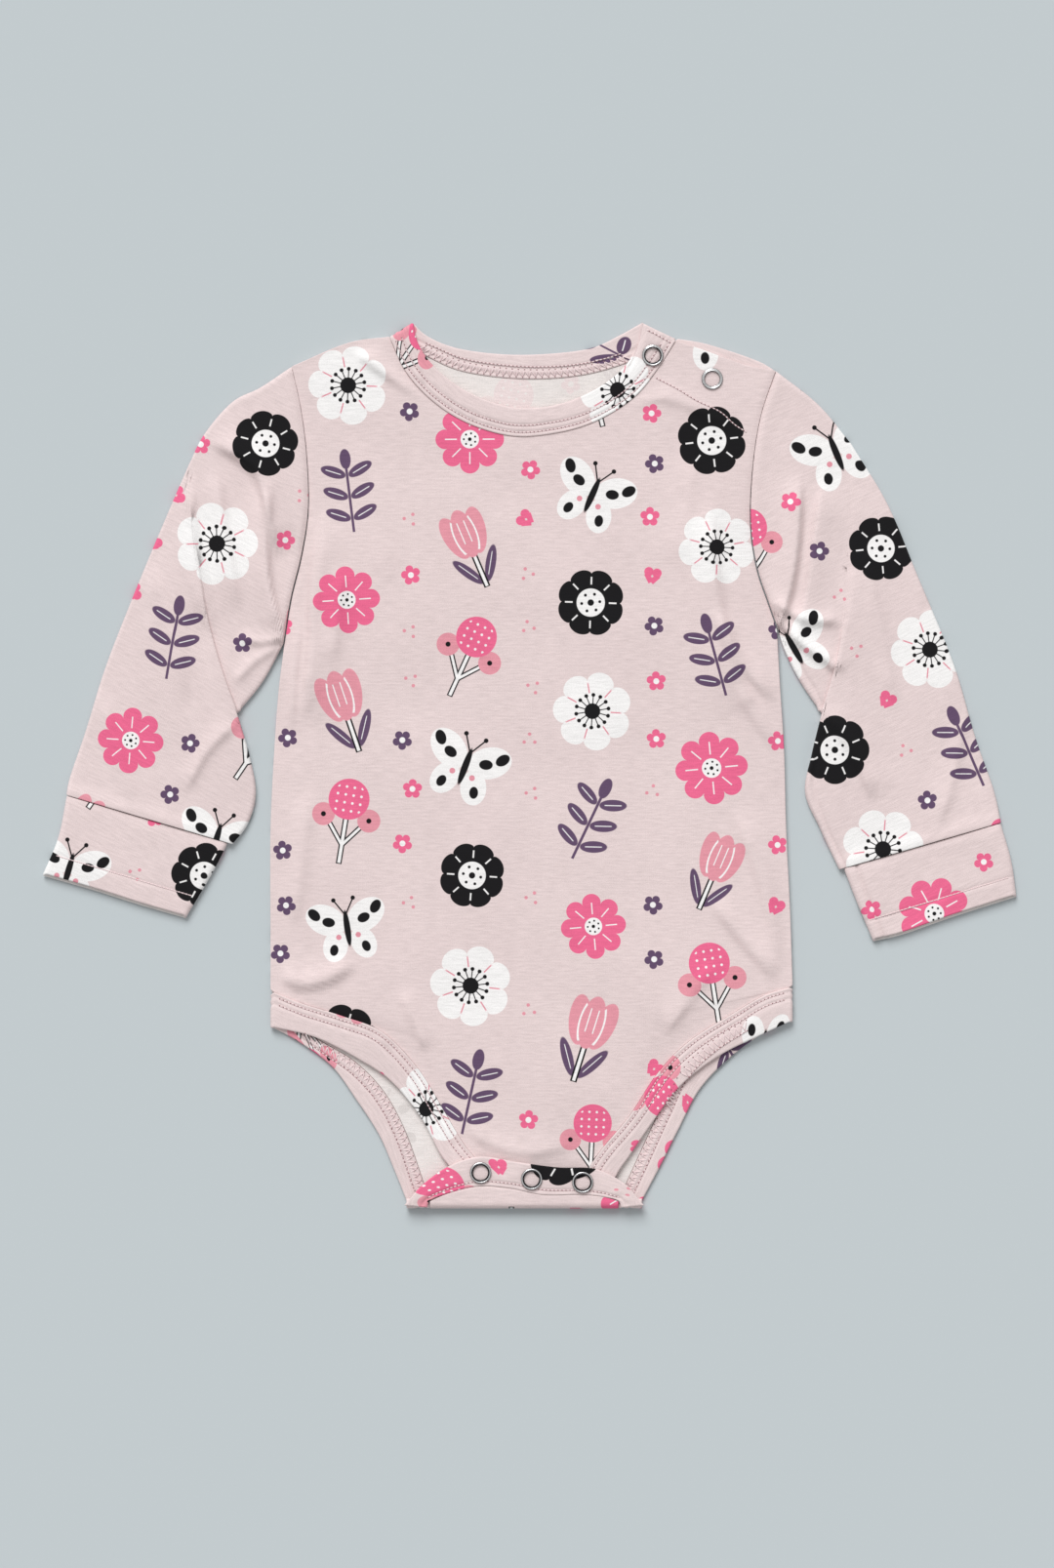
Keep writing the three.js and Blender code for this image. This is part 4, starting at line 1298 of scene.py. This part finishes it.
def poppy(x, y, r, angle, lay):
    wave = abs((angle * 4).cos())
    rim = r - (wave.root() * 1.9 + 11.4)
    lay(BLACK, rim)
    lay(WHITE, (r * wave / 4 - 0.3).most(7.2 - r).most(r - 10.2))
    lay(WHITE, r - 5.6)
    arc = ((angle * (6 / (2 * math.pi))).fract() - 0.5) * (2 * math.pi / 6)
    lay(BLACK, far(r - 3.6, arc * 3.6) - 0.6)
    lay(BLACK, r - 1.3)


def tulip(x, y, r, angle, lay):
    side = abs(x)
    leaf = oval(side, y, 5.0, -8.6, 2.1, 7.6, -0.55)
    lay(PURPLE, leaf)
    lay(WHITE, (abs(side - 1.1 + (y + 14.6) * -0.62) - 0.18).most(leaf + 0.8))
    lay(BLACK, (side - 1.3).most(abs(y + 8.4) - 8.6))
    lay(WHITE, (side - 0.6).most(abs(y + 8.4) - 8.2))
    middle = oval(x, y, 0, 6.4, 4.6, 10.2)
    bud = oval(side, y, 4.6, 6.2, 4.2, 9.6, -0.2).least(middle)
    lay(SALMON, bud)
    lay(WHITE, (abs(middle) - 0.32).most(bud + 0.7))
    lay(WHITE, (abs(side - 1.5) - 0.22).most(abs(y - 7.0) - 4.6))


def cosmos(x, y, r, angle, lay):
    wave = abs((angle * 4).cos())
    rim = r - (wave.root() * 4.2 + 9.6)
    lay(HOT_PINK, rim)
    lay(WHITE, (r * abs((angle * 4).sin()) / 4 - 0.24).most(abs(r - 7.6) - 2.4))
    lay(WHITE, r - 3.7)
    arc = ((angle * (7 / (2 * math.pi))).fract() - 0.5) * (2 * math.pi / 7)
    lay(BLACK, far(r - 2.4, arc * 2.4) - 0.42)
    lay(BLACK, r - 0.75)


def sprig(x, y, r, angle, lay):
    side = abs(x)
    pair = ((y + 14.0) / 9.0).fract() * 9.0 - 4.5
    leaf = oval(side, pair, 5.6, 0.7, 5.4, 2.3, 0.42).most(abs(y + 0.5) - 13.5)
    tip = oval(x, y, 0, 14.0, 2.3, 4.2)
    lay(PURPLE, leaf.least(tip).least((side - 0.55).most(abs(y + 1.5) - 15)))
    vein = abs((pair - 0.7) * math.cos(0.42) - (side - 5.6) * math.sin(0.42)) - 0.18
    lay(WHITE, vein.most(leaf + 0.9))


def allium(x, y, r, angle, lay):
    side = abs(x)
    lay(BLACK, ray(side, y, (0, -9.5), (7.4, 0), 1.05))
    lay(BLACK, (side - 1.15).most(abs(y + 7.5) - 9.5))
    lay(WHITE, ray(side, y, (0, -9.5), (7.4, 0), 0.5))
    lay(WHITE, (side - 0.6).most(abs(y + 7.5) - 9.1))
    lay(SALMON, disc(side, y, 9.0, 1.4, 4.5))
    crown = disc(x, y, 0, 8.6, 8.0)
    lay(HOT_PINK, crown)
    dots = far((x / 3.1).fract() - 0.5, ((y + 0.6) / 3.1).fract() - 0.5) * 3.1 - 0.5
    lay(WHITE, dots.most(crown + 1.2))
    lay(BLACK, disc(side, y, 9.0, 1.4, 1.0))


def butterfly(x, y, r, angle, lay):
    side = abs(x)
    lay(BLACK, ray(side, y, (0.4, 6), (3.8, 11.6), 0.3).least(disc(side, y, 4.0, 12.0, 0.9)))
    wings = oval(side, y, 8.2, 4.4, 8.6, 6.0, 0.55).least(oval(side, y, 5.8, -6.6, 5.0, 6.6, 0.35))
    lay(WHITE, wings)
    lay(BLACK, oval(side, y, 12.6, 7.2, 2.9, 2.0, 0.9))
    lay(BLACK, oval(side, y, 7.2, 3.4, 2.6, 1.9, 0.3))
    lay(BLACK, oval(side, y, 6.6, -8.2, 1.7, 2.3, 0.3))
    lay(SALMON, disc(side, y, 4.0, -3.2, 1.1))
    lay(BLACK, oval(x, y, 0, 0, 1.3, 7.4))


def floral_print():
    """A node group: the printed colour at a place on the cloth, in millimetres."""
    tree = bpy.data.node_groups.new("floral_print", "ShaderNodeTree")
    for name, kind in (("Place", "NodeSocketVector"), ("Ground", "NodeSocketColor")):
        tree.interface.new_socket(name, in_out="INPUT", socket_type=kind)
    tree.interface.new_socket("Colour", in_out="OUTPUT", socket_type="NodeSocketColor")
    into = tree.nodes.new("NodeGroupInput")
    out = tree.nodes.new("NodeGroupOutput")
    parts = tree.nodes.new("ShaderNodeSeparateXYZ")
    tree.links.new(into.outputs["Place"], parts.inputs[0])
    x = Field(tree, parts.outputs[0]) / PRINT_SCALE
    y = Field(tree, parts.outputs[1]) / PRINT_SCALE
    colour = [into.outputs["Ground"]]

    def chance(i, j, seed):
        """Three random numbers for a cell."""
        cell = tree.nodes.new("ShaderNodeCombineXYZ")
        tree.links.new(i.socket, cell.inputs[0])
        tree.links.new(j.socket, cell.inputs[1])
        cell.inputs[2].default_value = seed
        noise = tree.nodes.new("ShaderNodeTexWhiteNoise")
        tree.links.new(cell.outputs[0], noise.inputs["Vector"])
        split = tree.nodes.new("ShaderNodeSeparateColor")
        tree.links.new(noise.outputs["Color"], split.inputs[0])
        return [Field(tree, socket) for socket in split.outputs]

    def layer(chosen):
        """Lays ink on the cloth where a motif is chosen and a signed distance is below nothing."""
        def lay(ink, distance):
            mask = distance.made("MULTIPLY_ADD", -1 / INK_EDGE, 0.5)
            mask.socket.node.use_clamp = True
            mask = mask * chosen
            mix = tree.nodes.new("ShaderNodeMix")
            mix.data_type = "RGBA"
            tree.links.new(mask.socket, mix.inputs[0])
            tree.links.new(colour[0], mix.inputs[6])
            mix.inputs[7].default_value = linear(ink)
            colour[0] = mix.outputs[2]

        return lay

    def around(a, b, turn):
        angle_a = turn.cos()
        angle_b = turn.sin()
        return a * angle_a + b * angle_b, b * angle_a - a * angle_b

    i = (x / CELL_WIDE).floor()
    odd = (i * 0.5).fract() * 2
    dropped = y + odd * (CELL_HIGH / 2)
    j = (dropped / CELL_HIGH).floor()
    luck = chance(i, j, 4.0)
    a = x - (i + 0.5) * CELL_WIDE + (luck[0] - 0.5) * 3.0
    b = dropped - (j + 0.5) * CELL_HIGH + (luck[1] - 0.5) * 2.0
    a, b = around(a, b, (luck[2] - 0.5) * 0.9)
    grow = (luck[1] + luck[0]) * -0.08 + 1.14
    a = a * grow
    b = b * grow
    r = far(a, b)
    angle = b.made("ARCTAN2", a)
    kind = ((i * 3 + j * 2) / MOTIFS).fract() * MOTIFS
    for place, motif in enumerate((anemone, tulip, poppy, cosmos, butterfly, sprig, allium)):
        motif(a, b, r, angle, layer(kind.made("COMPARE", float(place), 0.4)))

    half = CELL_HIGH / 2
    i = (x / CELL_WIDE + 0.5).floor()
    j = (y / half).floor()
    luck = chance(i, j, 9.0)
    a = x - i * CELL_WIDE + (luck[0] - 0.5) * 4
    b = y - (j + 0.5) * half + (luck[1] - 0.5) * 3
    a, b = around(a, b, (luck[0] - 0.5) * 2)
    r = far(a, b)
    angle = b.made("ARCTAN2", a)
    bloom = r - (abs((angle * 2.5).cos()).root() * 1.7 + 2.0)
    side = abs(a)
    heart = ray(side, b, (0, -3.2), (2.3, -0.2), 1.05).least(disc(side, b, 1.55, 0.6, 1.75))
    dots = disc(side, b, 2.0, -1.0, 0.65).least(disc(a, b, 0, 2.0, 0.65))
    for low, high, ink, shape in (
        (0.0, 0.22, HOT_PINK, bloom), (0.22, 0.38, PURPLE, bloom),
        (0.38, 0.58, HOT_PINK, heart), (0.58, 0.85, SALMON, dots),
    ):
        lay = layer(luck[2].made("COMPARE", (low + high) / 2, (high - low) / 2))
        lay(ink, shape)
        if shape is bloom:
            lay(WHITE, r - 1.1)
    tree.links.new(colour[0], out.inputs["Colour"])
    return tree


def material(name):
    look = bpy.data.materials.new(name)
    look.use_nodes = True
    tree = look.node_tree
    return look, tree, tree.nodes["Principled BSDF"]


def stretched(tree, socket, scale):
    node = tree.nodes.new("ShaderNodeVectorMath")
    node.operation = "MULTIPLY"
    tree.links.new(socket, node.inputs[0])
    node.inputs[1].default_value = scale
    return node.outputs[0]


def noise(tree, socket, scale, detail=2.0):
    node = tree.nodes.new("ShaderNodeTexNoise")
    tree.links.new(stretched(tree, socket, scale), node.inputs["Vector"])
    node.inputs["Scale"].default_value = 1.0
    node.inputs["Detail"].default_value = detail
    return Field(tree, node.outputs[0])


def jersey(name, printed, ground, ink_share=1.0, knit=0.5):
    """Knitted cotton: a print, faint heathered streaks, and rows of small stitches."""
    look, tree, shader = material(name)
    place = tree.nodes.new("ShaderNodeUVMap")
    place.uv_map = "print"
    ink = tree.nodes.new("ShaderNodeGroup")
    ink.node_tree = printed
    tree.links.new(place.outputs[0], ink.inputs["Place"])
    ink.inputs["Ground"].default_value = linear(ground)
    colour = ink.outputs[0]
    if ink_share < 1:
        mix = tree.nodes.new("ShaderNodeMix")
        mix.data_type = "RGBA"
        mix.inputs[0].default_value = ink_share
        mix.inputs[6].default_value = linear(ground)
        tree.links.new(colour, mix.inputs[7])
        colour = mix.outputs[2]
    streaks = noise(tree, place.outputs[0], (0.16, 1.1, 1), 3.0)
    grain = noise(tree, place.outputs[0], (1.6, 2.4, 1), 2.0)
    cloud = noise(tree, place.outputs[0], (0.02, 0.03, 1), 1.0)
    value = (streaks - 0.5) * 0.34 + (grain - 0.5) * 0.34 + (cloud - 0.5) * 0.12 + 0.995
    tone = tree.nodes.new("ShaderNodeHueSaturation")
    tree.links.new(value.socket, tone.inputs["Value"])
    tree.links.new(colour, tone.inputs["Color"])
    tree.links.new(tone.outputs[0], shader.inputs["Base Color"])
    parts = tree.nodes.new("ShaderNodeSeparateXYZ")
    tree.links.new(place.outputs[0], parts.inputs[0])
    u = Field(tree, parts.outputs[0])
    v = Field(tree, parts.outputs[1])
    wale = abs((u / 0.9).fract() - 0.5)
    course = ((v / 0.7 + wale * 1.4) * (2 * math.pi)).sin()
    height = course * 0.3 + wale * -0.9 + grain * 1.4 + streaks * 0.8
    bump = tree.nodes.new("ShaderNodeBump")
    bump.inputs["Strength"].default_value = knit
    bump.inputs["Distance"].default_value = 0.00012
    tree.links.new(height.socket, bump.inputs["Height"])
    tree.links.new(bump.outputs[0], shader.inputs["Normal"])
    rough = grain * 0.12 + 0.84
    tree.links.new(rough.socket, shader.inputs["Roughness"])
    shader.inputs["Specular IOR Level"].default_value = 0.18
    shader.inputs["Sheen Weight"].default_value = 0.04
    shader.inputs["Sheen Roughness"].default_value = 0.5
    return look


def cotton_thread(name, colour):
    """Sewing thread, with its twist."""
    look, tree, shader = material(name)
    place = tree.nodes.new("ShaderNodeTexCoord")
    fibres = noise(tree, place.outputs["Object"], (2600, 2600, 2600), 2.0)
    ramp = tree.nodes.new("ShaderNodeMix")
    ramp.data_type = "RGBA"
    tree.links.new(fibres.socket, ramp.inputs[0])
    ramp.inputs[6].default_value = linear([0.9 * c for c in colour])
    ramp.inputs[7].default_value = linear([min(255, 1.05 * c) for c in colour])
    tree.links.new(ramp.outputs[2], shader.inputs["Base Color"])
    bump = tree.nodes.new("ShaderNodeBump")
    bump.inputs["Strength"].default_value = 0.4
    bump.inputs["Distance"].default_value = 0.00005
    tree.links.new(fibres.socket, bump.inputs["Height"])
    tree.links.new(bump.outputs[0], shader.inputs["Normal"])
    shader.inputs["Roughness"].default_value = 0.7
    shader.inputs["Specular IOR Level"].default_value = 0.3
    return look


def steel(name, colour, roughness):
    """Plated steel, finely scuffed."""
    look, tree, shader = material(name)
    place = tree.nodes.new("ShaderNodeTexCoord")
    scuffs = noise(tree, place.outputs["Object"], (900, 900, 900), 4.0)
    mix = tree.nodes.new("ShaderNodeMix")
    mix.data_type = "RGBA"
    tree.links.new(scuffs.socket, mix.inputs[0])
    mix.inputs[6].default_value = linear([0.8 * c for c in colour])
    mix.inputs[7].default_value = linear([min(255, 1.15 * c) for c in colour])
    tree.links.new(mix.outputs[2], shader.inputs["Base Color"])
    tree.links.new((scuffs * 0.2 + (roughness - 0.1)).socket, shader.inputs["Roughness"])
    bump = tree.nodes.new("ShaderNodeBump")
    bump.inputs["Strength"].default_value = 0.15
    bump.inputs["Distance"].default_value = 0.00003
    tree.links.new(scuffs.socket, bump.inputs["Height"])
    tree.links.new(bump.outputs[0], shader.inputs["Normal"])
    shader.inputs["Metallic"].default_value = 1.0
    return look


def floor():
    """A plain pale floor with soft light on it."""
    look, tree, shader = material("floor_paint")
    shader.inputs["Base Color"].default_value = linear(FLOOR)
    shader.inputs["Roughness"].default_value = 0.95
    shader.inputs["Specular IOR Level"].default_value = 0.1
    side = 4000
    corners = np.array([[-side, -side, -0.25], [side, -side, -0.25], [side, side, -0.25], [-side, side, -0.25]])
    mesh = bpy.data.meshes.new("floor")
    mesh.from_pydata((corners * MM).tolist(), [], [(0, 1, 2, 3)])
    mesh.materials.append(look)
    plane = bpy.data.objects.new("floor", mesh)
    bpy.context.scene.collection.objects.link(plane)
    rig.stage(plane)


def camera():
    data = bpy.data.cameras.new("camera")
    data.sensor_width = SENSOR
    data.lens = SENSOR * CAMERA_HEIGHT / VIEW_HIGH
    data.clip_end = 100
    eye = bpy.data.objects.new("camera", data)
    eye.location = (VIEW_CENTRE[0] * MM, VIEW_CENTRE[1] * MM, CAMERA_HEIGHT * MM)
    bpy.context.scene.collection.objects.link(eye)
    bpy.context.scene.camera = eye


def light():
    data = bpy.data.lights.new("window", "SUN")
    data.energy = SUN_STRENGTH
    data.angle = math.radians(SUN_ANGLE)
    sun = bpy.data.objects.new("window", data)
    sun.rotation_euler = [math.radians(turn) for turn in SUN_TURN]
    bpy.context.scene.collection.objects.link(sun)
    world = bpy.data.worlds.new("sky")
    world.use_nodes = True
    shade = world.node_tree.nodes["Background"]
    shade.inputs["Color"].default_value = (1, 1, 1, 1)
    shade.inputs["Strength"].default_value = SKY_STRENGTH
    bpy.context.scene.world = world
    bpy.context.scene.view_settings.view_transform = "Standard"


camera()
light()
floor()

printed = floral_print()
outside = jersey("printed_jersey", printed, GROUND)
inside = jersey("jersey_wrong_side", printed, INSIDE, ink_share=0.1)
# The second look paints the shade at each needle hole.
seam_looks = [cotton_thread("pale_thread", PALE_THREAD), cotton_thread("shaded_thread", PAINTED_HOLE_SHADE)]
# Two copies of one steel for the snap rings: the dark one paints the ring's shade, the pale one a highlight.
dark_steel = steel("dark_steel", (50, 49, 52), 0.34)
bright_steel = steel("bright_steel", (232, 232, 234), 0.3)

front = front_cloth([outside, inside])
back = back_cloth([inside, outside])
neck, leg_left, leg_right, crotch, placket = bindings([outside, outside])
sleeves = [sleeve_cloth(side, [outside, inside]) for side in SLEEVES]
cuffs = [cuff_cloth(side, [outside, inside]) for side in SLEEVES]
rings = {name: ring_snap(name, [dark_steel, bright_steel], HIGHLIGHT_BANDS.get(name, HIGHLIGHT_BAND)) for name in SNAPS}

neck_rows = [
    row_ends(offset_line(NECK_FRONT_SEAM, NECK_FRONT_EDGE, row, 0.02, 0.985)) for row in BINDING_ROWS
]
back_seam = [*NECK_BACK_SEAM, NECK_BACK_END]
neck_rows += [
    row_ends(offset_line(back_seam, NECK_BACK_EDGE, 6.0, 0.1, 0.84)),
    zigzag_ends(
        offset_line(back_seam, NECK_BACK_EDGE, 1.0, 0.1, 0.84),
        offset_line(back_seam, NECK_BACK_EDGE, 4.4, 0.1, 0.84),
    ),
    row_ends(curve(NECK_END_LINE)),
]
neck_stitches = stitched("neckband_stitches", neck, neck_rows, seam_looks)

leg_stitches = []
for side, target, front_lines, back_lines in (
    ("left", leg_left, (LEG_SEAM_FRONT_LEFT, LEG_EDGE_FRONT_LEFT), (LEG_SEAM_BACK_LEFT, LEG_EDGE_BACK_LEFT)),
    ("right", leg_right, (LEG_SEAM_FRONT_RIGHT, LEG_EDGE_FRONT_RIGHT), (LEG_SEAM_BACK_RIGHT, LEG_EDGE_BACK_RIGHT)),
):
    rows = [row_ends(offset_line(*front_lines, row, 0.03, 0.95)) for row in BINDING_ROWS]
    rows.append(zigzag_ends(offset_line(*back_lines, 0.8, 0.2, 0.97), offset_line(*back_lines, 5.0, 0.2, 0.97)))
    rows.append(row_ends(offset_line(*back_lines, 5.4, 0.2, 0.97)))
    leg_stitches.append(stitched("leg_stitches_" + side, target, rows, seam_looks))

crotch_rows = [row_ends(offset_line([FLAP_SEAM_ENDS[0], *FLAP_SEAM, FLAP_SEAM_ENDS[1]], FLAP_EDGE, 2.4, 0.05, 0.95))]
crotch_stitches = stitched("crotch_stitches", crotch, crotch_rows, seam_looks)
hem_stitches = stitched("shoulder_hem_stitches", front, [row_ends(curve(HEM_LINE))], seam_looks)

cuff_stitches = []
for side, target in zip(SLEEVES, cuffs):
    left, right = (edge((line, 1)) for line in SLEEVES[side]["cuff_sides"])
    line = straight(left(0.72), right(0.72))(np.linspace(0.03, 0.97, 100))
    cuff_stitches.append(stitched("cuff_stitches_" + side, target, [row_ends(line)], [seam_looks[0]] * 2))

sheets = {
    front: [hem_stitches, rings["shoulder_snap_2"]],
    back: [],
    neck: [neck_stitches, rings["shoulder_snap_1"]],
    leg_left: leg_stitches[:1],
    leg_right: leg_stitches[1:],
    crotch: [crotch_stitches, *(rings[name] for name in SNAPS if name.startswith("crotch"))],
    placket: [],
    sleeves[0]: [],
    sleeves[1]: [],
    cuffs[0]: cuff_stitches[:1],
    cuffs[1]: cuff_stitches[1:],
}
lies_on = {
    front: [back],
    neck: [back, front],
    leg_left: [back, front],
    leg_right: [back, front],
    crotch: [back, front],
    placket: [back],
}


for piece, on_it in sheets.items():
    wide, long, area = FLAT[piece.name]
    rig.sheet(
        piece, flat=(wide, long), held="laid", rests_on=lies_on.get(piece, ["floor"]),
        area=area, with_pieces=on_it,
    )
    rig.slot(piece, "print_binding" if "bind" in piece.name or "band" in piece.name else "print_jersey")
    for extra in on_it:
        if "stitches" in extra.name:
            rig.slot(extra, "print_binding")

with open("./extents.json", "w") as file:
    json.dump([[list(corner) for corner in box] for box in (SOLID_BOX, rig.bounds())], file)
